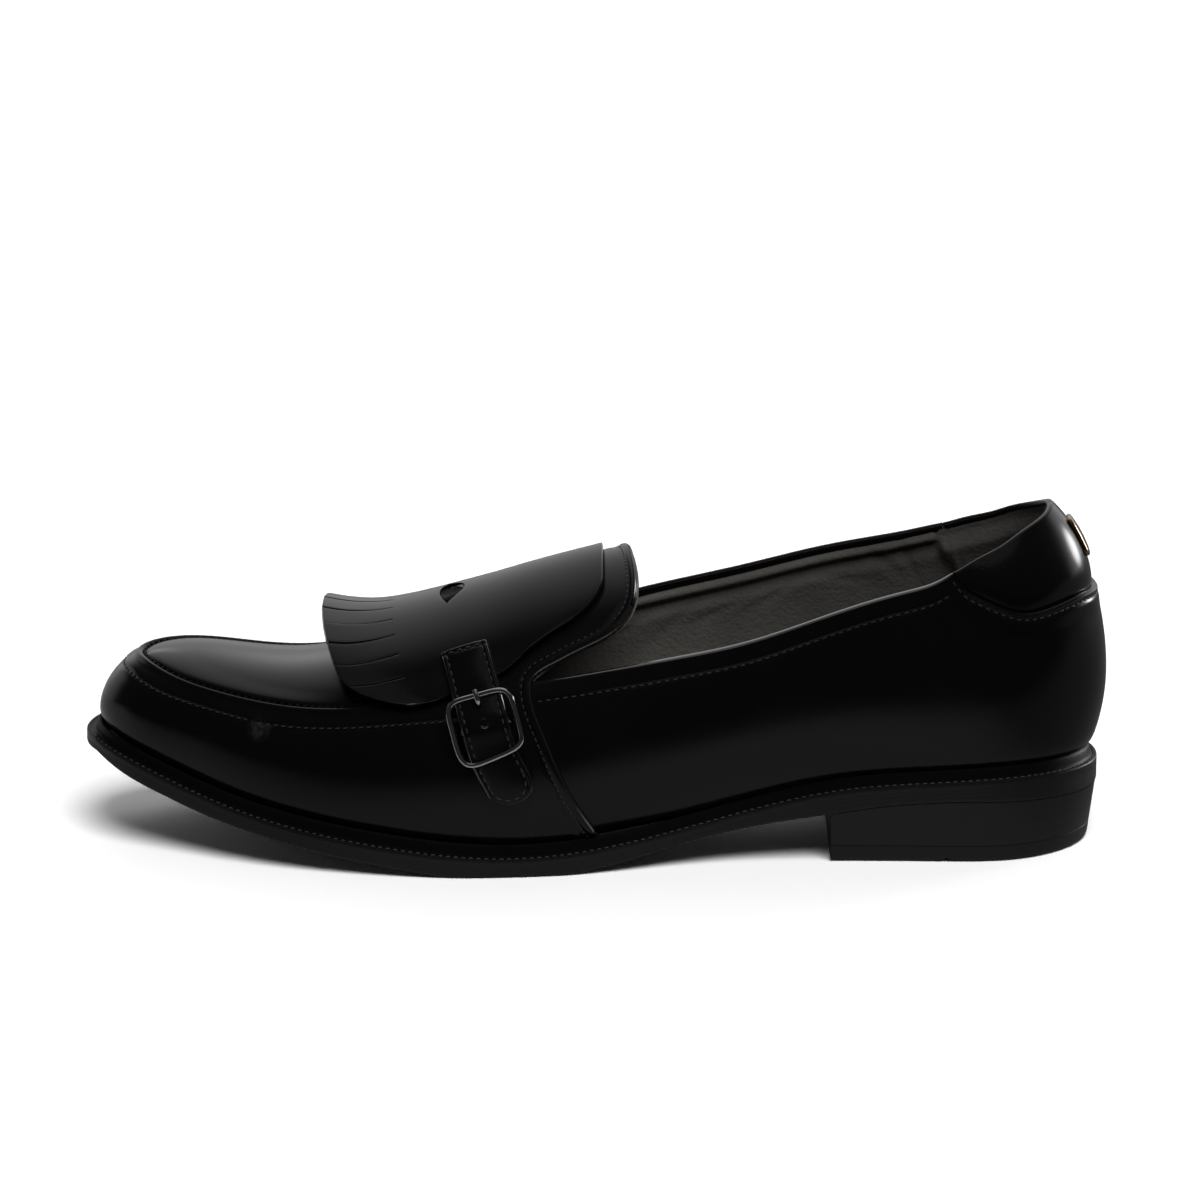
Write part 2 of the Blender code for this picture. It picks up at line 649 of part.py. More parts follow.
def build_kiltie(collection, cutters):
    """Flap over the instep with a slotted ridge and a fringe cut at its front."""
    strip = 2.0 / KILTIE_STRIPS
    half_slit = KILTIE_SLIT / KILTIE_GIRTH
    marks = [-1.0, -0.985, -0.95]
    slits = []
    for i in range(1, KILTIE_STRIPS):
        middle = -1 + i * strip
        marks += [middle - strip / 2, middle - half_slit]
        slits.append(len(marks) - 1)
        marks.append(middle + half_slit)
    marks += [1 - strip / 2, 0.95, 0.985, 1.0]
    across = np.array(marks)
    rear = np.linspace(0, KILTIE_SLIT_FROM, KILTIE_REAR_CUTS + 1)
    front = np.linspace(KILTIE_SLIT_FROM, 1, KILTIE_FRONT_CUTS + 1)[1:]
    k, w = np.meshgrid(np.concatenate((rear, front)), across, indexing="ij")
    d, q, up = kiltie_place(k, w)
    grid = raised(d, q, up)

    def slit(r, c):
        return r >= KILTIE_REAR_CUTS and c in slits
    faces = sheet_faces(grid.shape[0], grid.shape[1], skip=slit)
    obj = new_object("kiltie", grid.reshape(-1, 3), faces, collection)
    aim_up(obj)
    solidify(obj, KILTIE_THICK, True)
    x = HALF_LENGTH - SLOT_D
    corners = ((x - SLOT_LONG / 2, 0), (x - SLOT_LONG / 4, -SLOT_WIDE / 2), (x + SLOT_LONG / 2, 0),
               (x - SLOT_LONG / 4, SLOT_WIDE / 2))
    verts = [(a, b + SLOT_Y, z) for z in (SLOT_LOW, SLOT_HIGH) for a, b in corners]
    faces = [(0, 1, 2, 3), (4, 5, 6, 7)] + [(i, (i + 1) % 4, 4 + (i + 1) % 4, 4 + i) for i in range(4)]
    slot = new_object("slot_cutter", verts, faces, cutters)
    face_out(slot)
    cut(obj, slot)
    return obj


def aim_up(obj):
    """Turns an open sheet so that its faces look away from the foot."""
    work = bmesh.new()
    work.from_mesh(obj.data)
    loose = [v for v in work.verts if not v.link_faces]
    bmesh.ops.delete(work, geom=loose, context="VERTS")
    bmesh.ops.recalc_face_normals(work, faces=work.faces)
    work.faces.ensure_lookup_table()
    middle = sum(f.normal.z - f.normal.y * 0.3 for f in work.faces)
    if middle < 0:
        bmesh.ops.reverse_faces(work, faces=work.faces)
    work.to_mesh(obj.data)
    work.free()


def strap_line():
    """Strap centre line: run, d, q and lift, dense enough to read by length."""
    t = np.linspace(0, len(STRAP) - 1, 241)
    rows = np.arange(len(STRAP))
    d, q, lift = (spline(rows, STRAP[:, c], t) for c in range(3))
    place = raised(d, q, lift)
    run = np.concatenate(((0.0,), np.cumsum(np.linalg.norm(np.diff(place, axis=0), axis=1))))
    return run, d, q, lift


def strap_place(along, across):
    """Skin place under the strap at a length from its top end and a distance off its centre."""
    run, d, q, lift = strap_line()
    along, across = np.broadcast_arrays(np.asarray(along, float), np.asarray(across, float))
    d0, q0, up = (np.interp(along, run, column) for column in (d, q, lift))
    beyond = np.clip(along - run[-1], 0, None) + np.clip(along, None, 0)
    slope_d, slope_q = np.gradient(d, run), np.gradient(q, run)
    dd, dq = np.interp(along, run, slope_d), np.interp(along, run, slope_q)
    d0, q0 = d0 + beyond * dd, q0 + beyond * dq
    step = 0.2
    by_d = (skin(d0 + step, q0) - skin(d0 - step, q0)) / (2 * step)
    by_q = (skin(d0, q0 + 0.002) - skin(d0, q0 - 0.002)) / 0.004
    tangent = by_d * dd[..., None] + by_q * dq[..., None]
    normal = np.cross(by_q, by_d)
    side = np.cross(tangent, normal)
    side = side / np.linalg.norm(side, axis=-1, keepdims=True)
    dd_d, dq_q, d_q = (by_d ** 2).sum(-1), (by_q ** 2).sum(-1), (by_d * by_q).sum(-1)
    on_d, on_q = (side * by_d).sum(-1), (side * by_q).sum(-1)
    whole = dd_d * dq_q - d_q ** 2
    move_d = (on_d * dq_q - on_q * d_q) / whole
    move_q = (on_q * dd_d - on_d * d_q) / whole
    return d0 + across * move_d, q0 + across * move_q, up


def strap_length():
    """Length of the strap's centre line."""
    return strap_line()[0][-1]


def on_strap(along, across, lift):
    """Point over the skin in the strap's own measure."""
    d, q, _ = strap_place(along, across)
    return raised(d, q, np.broadcast_to(lift, d.shape))


def build_strap(collection, cutters):
    """Strap sewn to the kiltie, through the buckle, to a rounded tip."""
    long = strap_length()
    share = np.linspace(0, 1, STRAP_CUTS + 1)
    across = np.linspace(-1, 1, STRAP_ACROSS + 1)
    s, a = np.meshgrid(share, across, indexing="ij")
    reach = long - STRAP_TIP * (1 - np.sqrt(np.clip(1 - np.abs(a) ** 2.6, 0, 1)))
    d, q, up = strap_place(s * reach, a * STRAP_WIDE / 2)
    grid = raised(d, q, up)
    obj = new_object("strap", grid.reshape(-1, 3), sheet_faces(*grid.shape[:2]), collection)
    aim_up(obj)
    solidify(obj, STRAP_THICK, True)
    for name, at in (("prong_hole_cutter", PRONG_HOLE), ("spare_hole_cutter", SPARE_HOLE)):
        ends = on_strap(np.full(2, BUCKLE_AT + at), np.zeros(2), np.array((0.8, 7.5)))
        cut(obj, rod(name, ends, HOLE_ROD, cutters))
    return obj


def rod(name, points, radius, collection, cyclic=False):
    """Round rod along points, made as a curve with a bevel and turned into a mesh."""
    curve = bpy.data.curves.new(name, "CURVE")
    curve.dimensions = "3D"
    curve.bevel_depth = radius * MM
    curve.bevel_resolution = 1
    curve.use_fill_caps = True
    path = curve.splines.new("POLY")
    path.points.add(len(points) - 1)
    for node, place in zip(path.points, np.asarray(points) * MM):
        node.co = (*place, 1.0)
    path.use_cyclic_u = cyclic
    holder = bpy.data.objects.new(name + "_path", curve)
    collection.objects.link(holder)
    bpy.context.view_layer.update()
    mesh = bpy.data.meshes.new_from_object(holder.evaluated_get(bpy.context.evaluated_depsgraph_get()))
    verts = np.array([v.co for v in mesh.vertices]) / MM
    faces = [tuple(p.vertices) for p in mesh.polygons]
    bpy.data.objects.remove(holder)
    bpy.data.curves.remove(curve)
    bpy.data.meshes.remove(mesh)
    obj = new_object(name, verts, faces, collection)
    face_out(obj)
    return obj


def buckle_lift(along):
    """Height of the frame over the skin, tipped a little with the strap."""
    share = np.clip((along + BUCKLE_LONG / 2) / BUCKLE_LONG, 0, 1)
    return BUCKLE_LIFT_TOP + (BUCKLE_LIFT_LOW - BUCKLE_LIFT_TOP) * share


def buckle_loop(count):
    """Rounded, slightly barrelled frame line in the strap's measure: along and across."""
    angle = np.linspace(0, 2 * math.pi, count, endpoint=False)
    along = np.sign(np.cos(angle)) * np.abs(np.cos(angle)) ** (2 / BUCKLE_SQUARE)
    across = np.sign(np.sin(angle)) * np.abs(np.sin(angle)) ** (2 / BUCKLE_SQUARE)
    return np.stack((along * BUCKLE_LONG / 2, across * BUCKLE_WIDE / 2), -1)


def build_buckle(collection):
    """Frame with its centre bar under the strap, and the prong lying on the frame."""
    loop = buckle_loop(BUCKLE_CUTS)
    points = on_strap(BUCKLE_AT + loop[:, 0], loop[:, 1], buckle_lift(loop[:, 0]))
    frame = rod("buckle_frame", points, BUCKLE_ROD, collection, cyclic=True)
    side = BUCKLE_WIDE / 2
    across = np.linspace(-side, side, 15)
    edge = ease((np.abs(across) - STRAP_WIDE / 2) / (side - STRAP_WIDE / 2))
    lift = BAR_LIFT + (buckle_lift(0.0) - BAR_LIFT) * edge
    bar = rod("bar", on_strap(np.full(15, BUCKLE_AT), across, lift), BAR_ROD, collection)
    join = frame.modifiers.new("bar", "BOOLEAN")
    join.operation = "UNION"
    join.solver = "EXACT"
    join.object = bar
    points = on_strap(BUCKLE_AT + PRONG[:, 0], np.zeros(len(PRONG)), PRONG[:, 1])
    rod("buckle_prong", points, PRONG_ROD, collection)
    return bar


def build_plate(collection):
    """Plain plate on the tab at the back of the heel."""
    high = np.linspace(-PLATE_HIGH / 2, PLATE_HIGH / 2, 7)
    wide = np.linspace(-PLATE_WIDE / 2, PLATE_WIDE / 2, 9)
    reach = np.linspace(HEEL_END, 24.0, 200)
    grid = np.zeros((len(high), len(wide), 3))
    back = skin(np.full(200, HEEL_END), np.linspace(-1, 0, 200))
    girth = np.linalg.norm(np.diff(back, axis=0), axis=1).sum()
    for r, up in enumerate(high):
        q = PLATE_Q - up / girth
        for side in (-1.0, 1.0):
            line = skin(reach, np.full(200, side * q))
            run = np.concatenate(((0.0,), np.cumsum(np.linalg.norm(np.diff(line, axis=0), axis=1))))
            keep = wide * side >= 0
            d = np.interp(np.abs(wide[keep]), run, reach)
            grid[r, keep] = raised(d, np.full(len(d), side * q), np.full(len(d), PLATE_LIFT))
    obj = new_object("heel_plate", grid.reshape(-1, 3), sheet_faces(len(high), len(wide)), collection)
    aim_back(obj)
    solidify(obj, PLATE_THICK, True)
    return obj


def aim_back(obj):
    """Turns the plate so that its face looks backwards."""
    if sum(p.normal.x for p in obj.data.polygons) < 0:
        obj.data.flip_normals()


def centre(collections):
    """Moves every mesh so that the shoe stands over the origin."""
    bpy.context.view_layer.update()
    graph = bpy.context.evaluated_depsgraph_get()
    low, high = np.full(3, 1e9), np.full(3, -1e9)
    for obj in collections[0].objects:
        mesh = obj.evaluated_get(graph).to_mesh()
        points = np.array([v.co for v in mesh.vertices])
        low, high = np.minimum(low, points.min(axis=0)), np.maximum(high, points.max(axis=0))
        obj.evaluated_get(graph).to_mesh_clear()
    shift = -(low + high) / 2
    shift[2] = 0
    for collection in collections:
        for obj in collection.objects:
            for vert in obj.data.vertices:
                vert.co.x += shift[0]
                vert.co.y += shift[1]


def main():
    for obj in list(bpy.data.objects):
        bpy.data.objects.remove(obj)
    shoe = bpy.data.collections.new("single monk strap shoe")
    cutters = bpy.data.collections.new("cutters")
    bpy.context.scene.collection.children.link(shoe)
    bpy.context.scene.collection.children.link(cutters)
    build_outsole(shoe)
    build_welt(shoe)
    build_heel(shoe)
    build_insole(shoe)
    build_upper(shoe)
    build_kiltie(shoe, cutters)
    build_strap(shoe, cutters)
    bar = build_buckle(shoe)
    shoe.objects.unlink(bar)
    cutters.objects.link(bar)
    build_plate(shoe)
    centre((shoe, cutters))
    for obj in cutters.objects:
        obj.hide_render = True
        obj.display_type = "WIRE"


main()
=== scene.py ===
"""Looks of one monk strap shoe for the left foot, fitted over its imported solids.

Sizes in the tables are millimetres. A place on the skin of the shoe is given by d, the
distance forward from the back of the heel, and q, the share of the girth from the ridge (0)
down to the foot of the outer wall (-1) or of the inner wall (+1). A lift is a distance off
the skin along its normal.
"""
import math

import bmesh
import bpy
import numpy as np
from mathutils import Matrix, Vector


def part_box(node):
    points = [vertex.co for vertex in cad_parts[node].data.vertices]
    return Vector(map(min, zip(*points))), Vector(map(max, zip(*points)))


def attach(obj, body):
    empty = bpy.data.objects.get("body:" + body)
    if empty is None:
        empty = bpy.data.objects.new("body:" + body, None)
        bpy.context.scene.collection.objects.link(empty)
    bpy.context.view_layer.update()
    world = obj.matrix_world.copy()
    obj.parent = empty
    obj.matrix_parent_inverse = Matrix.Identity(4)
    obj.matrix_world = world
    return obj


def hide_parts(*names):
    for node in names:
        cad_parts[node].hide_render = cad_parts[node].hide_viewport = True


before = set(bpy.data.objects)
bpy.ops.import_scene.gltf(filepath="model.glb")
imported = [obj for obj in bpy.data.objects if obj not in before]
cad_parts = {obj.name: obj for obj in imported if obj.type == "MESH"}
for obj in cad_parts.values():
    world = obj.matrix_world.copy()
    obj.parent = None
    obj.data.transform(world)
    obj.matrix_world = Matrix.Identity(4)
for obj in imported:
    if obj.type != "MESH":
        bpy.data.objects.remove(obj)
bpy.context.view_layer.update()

MM = 0.001
UP = (0.0, 0.0, 1.0)
HALF_LENGTH = 134.0
HEEL_END = 5.0
TOE_END = 264.8
TOE_EDGE = 3.3

# Shape of the last, a row for each section from the heel to the toe.
LAST_COLUMNS = ("d", "lat", "med", "foot_z", "out_lat", "out_med", "out_up", "top_z", "top_y", "square")
LAST = np.array((
    (5.0, 0.0, 0.0, 24.2, 3.4, 3.4, 20.0, 97.0, 0.0, 1.90),
    (14.0, 19.5, 19.5, 24.9, 3.1, 3.1, 20.0, 98.3, 0.0, 1.92),
    (30.0, 27.8, 27.6, 25.0, 2.9, 2.9, 20.0, 98.5, 0.0, 2.00),
    (50.0, 28.2, 27.4, 23.8, 3.3, 3.5, 20.4, 96.8, 0.0, 2.08),
    (75.0, 27.8, 24.8, 21.3, 4.6, 6.3, 21.0, 91.7, 0.1, 2.10),
    (100.0, 28.8, 22.8, 15.5, 5.4, 8.6, 20.8, 84.3, 0.7, 2.10),
    (125.0, 33.2, 25.4, 10.1, 4.3, 8.0, 19.7, 76.2, 1.6, 2.09),
    (150.0, 37.3, 32.0, 7.3, 2.5, 4.8, 17.5, 69.0, 2.0, 2.05),
    (170.0, 38.4, 37.6, 7.8, 1.6, 2.6, 15.4, 61.7, 1.9, 2.13),
    (190.0, 36.9, 40.2, 10.1, 1.2, 1.8, 13.0, 54.4, 1.8, 2.25),
    (210.0, 32.8, 39.4, 13.2, 0.9, 1.2, 11.1, 49.6, 2.5, 2.35),
    (228.0, 26.2, 35.6, 17.1, 0.7, 0.8, 9.7, 48.6, 3.8, 2.46),
    (243.0, 18.6, 30.2, 21.6, 0.5, 0.6, 8.3, 48.6, 4.9, 2.52),
    (255.0, 11.8, 24.6, 25.9, 0.3, 0.4, 6.6, 46.0, 5.7, 2.44),
    (264.8, -6.0, 6.0, 29.4, 0.2, 0.2, 3.0, 30.6, 6.0, 2.30),
))
HEEL_AXIS = 32.0
FAN_FROM = 55.0
FAN_TO = 95.0
TUCK = 1.6
TUCK_UP = 1.8
PROFILE_POINTS = 321
LOW_SHARE = 0.25
SKIN_SECTIONS = 901
SKIN_SHARES = 241
LOW_MOST = 0.6
TOE_SHY = 0.15
FEEL_D = 0.2
FEEL_Q = 0.002
FAR = 99.0
GIRTH = 75.0
ROW_SHARE = 0.45
WELD = 2e-6
TOO_THIN = 1e-7

# Quarter from the heel back to the throat: foot, mid wall and top line, which is the heel
# tab's seam up to the tab's tip and the collar edge in front of it.
# Columns: foot_d, mid_d, mid_q, top_d, top_q, top_q_inner.
QUARTER = np.array((
    (5.0, 5.0, 0.75, 5.0, 0.487, 0.487),
    (10.0, 10.0, 0.75, 10.0, 0.487, 0.487),
    (17.0, 17.0, 0.75, 17.0, 0.503, 0.503),
    (24.0, 24.0, 0.75, 24.0, 0.517, 0.517),
    (30.0, 30.0, 0.75, 30.0, 0.503, 0.503),
    (36.0, 36.0, 0.75, 36.5, 0.470, 0.470),
    (41.0, 41.0, 0.75, 41.0, 0.436, 0.430),
    (45.0, 45.0, 0.75, 43.8, 0.391, 0.380),
    (50.0, 50.0, 0.75, 50.0, 0.420, 0.390),
    (63.0, 63.0, 0.75, 63.0, 0.443, 0.402),
    (88.0, 89.0, 0.75, 90.0, 0.483, 0.396),
    (105.0, 110.0, 0.73, 114.0, 0.481, 0.380),
    (120.0, 130.0, 0.68, 134.0, 0.477, 0.395),
    (132.9, 147.8, 0.64, 150.6, 0.475, 0.440),
    (140.0, 155.0, 0.62, 160.0, 0.478, 0.455),
))
TAB_TIP = 7

# Collar edge over the heel tab, from the heel back to the tab's tip.
# Columns: d, q, q_inner.
TAB_EDGE = np.array((
    (5.0, 0.200, 0.200),
    (10.0, 0.220, 0.235),
    (17.0, 0.248, 0.275),
    (24.0, 0.282, 0.310),
    (30.0, 0.317, 0.340),
    (36.5, 0.350, 0.360),
    (41.0, 0.377, 0.373),
    (43.8, 0.391, 0.380),
))

# Vamp from the outer throat round the toe to the inner throat: foot, outer apron seam,
# inner apron seam and tongue edge.
# Columns: foot_d, outer_d, outer_q, inner_d, inner_q, edge_d, edge_q.
VAMP = np.array((
    (132.9, 147.8, -0.640, 151.0, -0.515, 150.6, -0.475),
    (150.0, 160.0, -0.590, 162.0, -0.500, 146.0, -0.440),
    (168.0, 174.0, -0.578, 174.0, -0.495, 139.0, -0.410),
    (192.0, 194.0, -0.588, 195.0, -0.503, 131.0, -0.378),
    (216.0, 215.5, -0.600, 213.0, -0.497, 126.0, -0.330),
    (237.0, 233.5, -0.575, 230.0, -0.462, 124.0, -0.260),
    (254.0, 248.0, -0.510, 243.0, -0.385, 124.0, -0.170),
    (263.0, 256.0, -0.290, 250.6, -0.195, 124.7, -0.080),
    (264.8, 258.0, 0.000, 252.6, 0.000, 125.4, 0.000),
    (264.2, 257.0, 0.220, 251.6, 0.160, 126.2, 0.080),
    (259.5, 252.5, 0.385, 247.0, 0.275, 126.6, 0.170),
    (249.0, 243.5, 0.450, 238.5, 0.335, 126.8, 0.260),
    (232.0, 229.0, 0.462, 226.0, 0.355, 128.2, 0.330),
    (210.0, 210.0, 0.472, 209.0, 0.370, 131.0, 0.378),
    (186.0, 189.0, 0.507, 189.0, 0.410, 139.0, 0.405),
    (160.0, 168.0, 0.565, 169.0, 0.460, 146.0, 0.425),
    (132.9, 147.8, 0.640, 151.0, 0.515, 150.6, 0.440),
))
TOE_ROW = 8

# Rear edge of the vamp from the sole up to the throat.
# Columns: d, q.
REAR_EDGE = np.array((
    (132.9, 1.000),
    (138.2, 0.890),
    (142.6, 0.790),
    (148.0, 0.635),
    (151.0, 0.520),
))

# Sole: distance of its edge outside the foot line, and height of its underside.
# Columns: d, edge, under.
SOLE = np.array((
    (5.0, 1.4, 15.2),
    (20.0, 1.5, 16.2),
    (40.0, 1.6, 16.6),
    (57.0, 1.6, 15.6),
    (74.0, 1.6, 13.2),
    (94.0, 1.7, 10.1),
    (114.0, 2.2, 6.0),
    (130.0, 2.9, 2.2),
    (144.0, 3.3, 0.0),
    (168.0, 3.5, 0.0),
    (182.0, 3.5, 1.5),
    (195.0, 3.5, 3.6),
    (209.0, 3.4, 6.0),
    (233.0, 3.3, 11.4),
    (247.0, 3.3, 15.8),
    (256.0, 3.3, 19.2),
    (264.8, 3.3, 23.4),
))
BREAST = 74.0
TOP_PIECE = 4.5

# Kiltie, a row for each line across it from the tongue to the fringe.
# Columns: d, lift, side_lift, span.
KILTIE = np.array((
    (132.3, 1.3, 1.6, 0.318),
    (145.0, 1.4, 1.9, 0.380),
    (158.0, 1.7, 1.7, 0.452),
    (170.0, 2.6, 1.7, 0.490),
    (180.0, 3.6, 1.8, 0.510),
    (188.0, 4.8, 1.9, 0.520),
    (196.0, 7.0, 2.1, 0.527),
    (203.8, 10.0, 2.4, 0.530),
))
KILTIE_THICK = 1.3
KILTIE_REAR_ROUND = 8.0
KILTIE_REAR_FROM = 0.55
KILTIE_REAR_TURN = 0.8
KILTIE_FRONT_D = 170.0
KILTIE_FRONT_ROUND = 9.0
KILTIE_LOBE = 13.0
KILTIE_LOBE_FROM = 0.72
KILTIE_LOBE_TURN = 0.92
KILTIE_FAN = 0.115
KILTIE_STRIPS = 11
KILTIE_SLIT = 0.45
KILTIE_GIRTH = 84.0
KILTIE_SLIT_FROM = 0.67
SLOT_AT = 0.452
SLOT_HALF = 0.24
SLOT_REAR = 0.056
SLOT_FRONT = 0.028

# Strap centre line from its sewn top end to its tip, and the lift of its underside.
# Columns: d, q, lift.
STRAP = np.array((
    (167.4, -0.358, 3.75),
    (165.6, -0.455, 3.50),
    (164.0, -0.535, 3.35),
    (162.3, -0.612, 3.2),
    (160.1, -0.700, 1.9),
    (156.9, -0.775, 1.5),
    (155.0, -0.838, 1.4),
))
STRAP_WIDE = 12.8
STRAP_THICK = 1.9
STRAP_TIP = 6.0
STRAP_ROUND = 1.1
STRAP_DOME = 0.45
EDGE_SHARE = 0.93
STRAP_ARCH = 1.0
BUCKLE_AT = 22.8
BUCKLE_WIDE = 16.6
BUCKLE_LONG = 15.8
BUCKLE_SQUARE = 5.0
BUCKLE_LIFT_TOP = 6.2
BUCKLE_LIFT_LOW = 4.6
BUCKLE_ROD = 0.70
BAR_LIFT = 2.1
BAR_ROD = 0.6
PRONG_ROD = 0.62
SPARE_HOLE = -0.9

# Prong, from the bar through the strap's hole to the frame: place along the strap and lift.
# Columns: along, lift.
PRONG = np.array((
    (-1.5, 2.1),
    (-3.0, 2.2),
    (-4.1, 3.0),
    (-4.8, 4.6),
    (-5.5, 6.6),
    (-6.4, 7.9),
    (-7.7, 8.2),
    (-8.7, 7.9),
))


def spline(knots, values, at):
    """Natural cubic through the knots."""
    knots = np.asarray(knots, float)
    values = np.asarray(values, float)
    step = np.diff(knots)
    count = len(knots)
    matrix = np.eye(count)
    right = np.zeros(count)
    for i in range(1, count - 1):
        matrix[i, i - 1:i + 2] = step[i - 1], 2 * (step[i - 1] + step[i]), step[i]
        right[i] = 6 * ((values[i + 1] - values[i]) / step[i] - (values[i] - values[i - 1]) / step[i - 1])
    bend = np.linalg.solve(matrix, right)
    at = np.asarray(at, float)
    i = np.clip(np.searchsorted(knots, at) - 1, 0, count - 2)
    a = (knots[i + 1] - at) / step[i]
    b = 1 - a
    curve = ((a ** 3 - a) * bend[i] + (b ** 3 - b) * bend[i + 1]) * step[i] ** 2 / 6
    return a * values[i] + b * values[i + 1] + curve


def steady(knots, values, at):
    """Cubic through the knots that never overshoots, so level stretches stay level."""
    knots = np.asarray(knots, float)
    values = np.asarray(values, float)
    step = np.diff(knots)
    rise = np.diff(values) / step
    slope = np.zeros(len(knots))
    slope[0], slope[-1] = rise[0], rise[-1]
    same = rise[:-1] * rise[1:] > 0
    mean = 2 * rise[:-1] * rise[1:] / np.where(same, rise[:-1] + rise[1:], 1)
    slope[1:-1] = np.where(same, mean, 0)
    at = np.clip(np.asarray(at, float), knots[0], knots[-1])
    i = np.clip(np.searchsorted(knots, at) - 1, 0, len(knots) - 2)
    t = (at - knots[i]) / step[i]
    first = (1 + 2 * t) * (1 - t) ** 2 * values[i] + t * (1 - t) ** 2 * step[i] * slope[i]
    second = t * t * (3 - 2 * t) * values[i + 1] + t * t * (t - 1) * step[i] * slope[i + 1]
    return first + second


def between(table, at):
    """Rows of a table read between its lines with a natural cubic in each column."""
    rows = np.arange(len(table))
    return np.stack([spline(rows, table[:, k], at) for k in range(table.shape[1])], -1)


def ease(value):
    """Smooth rise from 0 to 1."""
    value = np.clip(value, 0, 1)
    return value * value * (3 - 2 * value)


def bump(value, wide):
    """Bell of height 1 and the given half width round zero."""
    return np.exp(-(np.asarray(value, float) / wide) ** 2)


def lengths(points):
    """Running length along a line of points."""
    step = np.linalg.norm(np.diff(points, axis=0), axis=1)
    return np.concatenate(((0.0,), np.cumsum(step)))


def rising(value, start, long):
    """Smooth rise from 0 at start to 1 at a length beyond it."""
    return ease((value - start) / long)


def unit(vectors):
    """Vectors scaled to length 1."""
    return vectors / np.linalg.norm(vectors, axis=-1, keepdims=True)


def along_line(run, want, values):
    """Rows of values read at wanted lengths along a line."""
    return np.stack([np.interp(want, run, values[:, k]) for k in range(values.shape[1])], -1)


def station(d):
    """Section number -1 at the heel to 1 at the toe, so that both ends come out round."""
    middle, reach = (HEEL_END + TOE_END) / 2, (TOE_END - HEEL_END) / 2
    return np.arcsin(np.clip((np.asarray(d, float) - middle) / reach, -1, 1)) * 2 / math.pi


def forward(u):
    """Distance d from the heel back of a section number."""
    middle, reach = (HEEL_END + TOE_END) / 2, (TOE_END - HEEL_END) / 2
    return middle + reach * np.sin(np.asarray(u, float) * math.pi / 2)


def last(name, u):
    """One column of the last at section numbers u."""
    return spline(station(LAST[:, 0]), LAST[:, LAST_COLUMNS.index(name)], u)


def foot(side, u):
    """Foot line of the upper: plan place and height."""
    wide = np.where(side < 0, last("lat", u), last("med", u))
    return HALF_LENGTH - forward(u), side * wide, last("foot_z", u)


def outline_normal(side, u):
    """Plan direction square to the foot line, outwards."""
    near = 1e-3
    x0, y0, _ = foot(side, np.clip(u - near, -1, 1))
    x1, y1, _ = foot(side, np.clip(u + near, -1, 1))
    run = np.hypot(x1 - x0, y1 - y0)
    end = np.abs(u) > 1 - 1e-9
    return np.where(end, -np.sign(u), side * (y1 - y0) / run), np.where(end, 0, -side * (x1 - x0) / run)


def outward(side, u):
    """Plan direction a wall leans in: fans round the heel, straight across further forward."""
    nx, _ = outline_normal(side, u)
    nx = nx * (1 - ease((forward(u) - FAN_FROM) / (FAN_TO - FAN_FROM)))
    return nx, side * np.sqrt(np.clip(1 - nx ** 2, 0, 1))


def wall_lines(side, u):
    """Points of each wall line from foot to ridge: bulges out low down as a quarter sine, then rounds
    over as a superellipse, and tucks in at the very foot."""
    x, y, z = foot(side, u)
    nx, ny = outward(side, u)
    out = np.where(side < 0, last("out_lat", u), last("out_med", u))
    square = last("square", u)
    ridge = np.where(side < 0, last("top_y", u) - y, y - last("top_y", u))
    ridge = np.hypot(np.maximum(HEEL_AXIS - forward(u), 0), ridge)
    high = last("top_z", u) - z
    low = np.minimum(last("out_up", u), LOW_MOST * high)
    share = np.linspace(0, 1, PROFILE_POINTS)
    rise = np.clip(share / LOW_SHARE, 0, 1)
    turn = np.clip((share - LOW_SHARE) / (1 - LOW_SHARE), 0, 1) * math.pi / 2
    power = (2 / square)[:, None]
    across = np.maximum(np.cos(turn), 0) ** power
    over = np.sin(turn) ** power
    below = share < LOW_SHARE
    up = np.where(below, low[:, None] * rise, low[:, None] + (high - low)[:, None] * over)
    side_out = np.where(below, out[:, None] * np.sin(rise * math.pi / 2),
                        (out + ridge)[:, None] * across - ridge[:, None])
    tuck = TUCK * np.exp(-up / TUCK_UP)
    tuck_x, tuck_y = outline_normal(side, u)
    return np.stack((x[:, None] + nx[:, None] * side_out - tuck_x[:, None] * tuck,
                     y[:, None] + ny[:, None] * side_out - tuck_y[:, None] * tuck,
                     z[:, None] + up), -1)


def padded_table(grid):
    """Grid with one row more at each end, taken from over the heel and toe, and one more column at each
    side."""
    grid = np.concatenate((grid[1:2, ::-1], grid, grid[-2:-1, ::-1]))
    low = 2 * grid[:, :1] - grid[:, 1:2]
    high = 2 * grid[:, -1:] - grid[:, -2:-1]
    return np.concatenate((low, grid, high), axis=1)


def skin_tables():
    """Points and normals of the skin on an even grid of section numbers and girth shares."""
    u = np.linspace(-1, 1, SKIN_SECTIONS)
    share = np.linspace(0, 1, SKIN_SHARES)
    halves = []
    for side in (-1.0, 1.0):
        lines = wall_lines(np.full(SKIN_SECTIONS, side), u)
        even = []
        for line in lines:
            run = lengths(line)
            even.append(along_line(run, share * run[-1], line))
        halves.append(np.array(even))
    points = padded_table(np.concatenate((halves[0], halves[1][:, ::-1][:, 1:]), axis=1))
    along = points[2:, 1:-1] - points[:-2, 1:-1]
    over = points[1:-1, 2:] - points[1:-1, :-2]
    normal = np.cross(over, along)
    normal = normal / np.maximum(np.linalg.norm(normal, axis=-1, keepdims=True), 1e-12)
    return points, padded_table(normal)


SKIN_POINTS, SKIN_NORMALS = skin_tables()


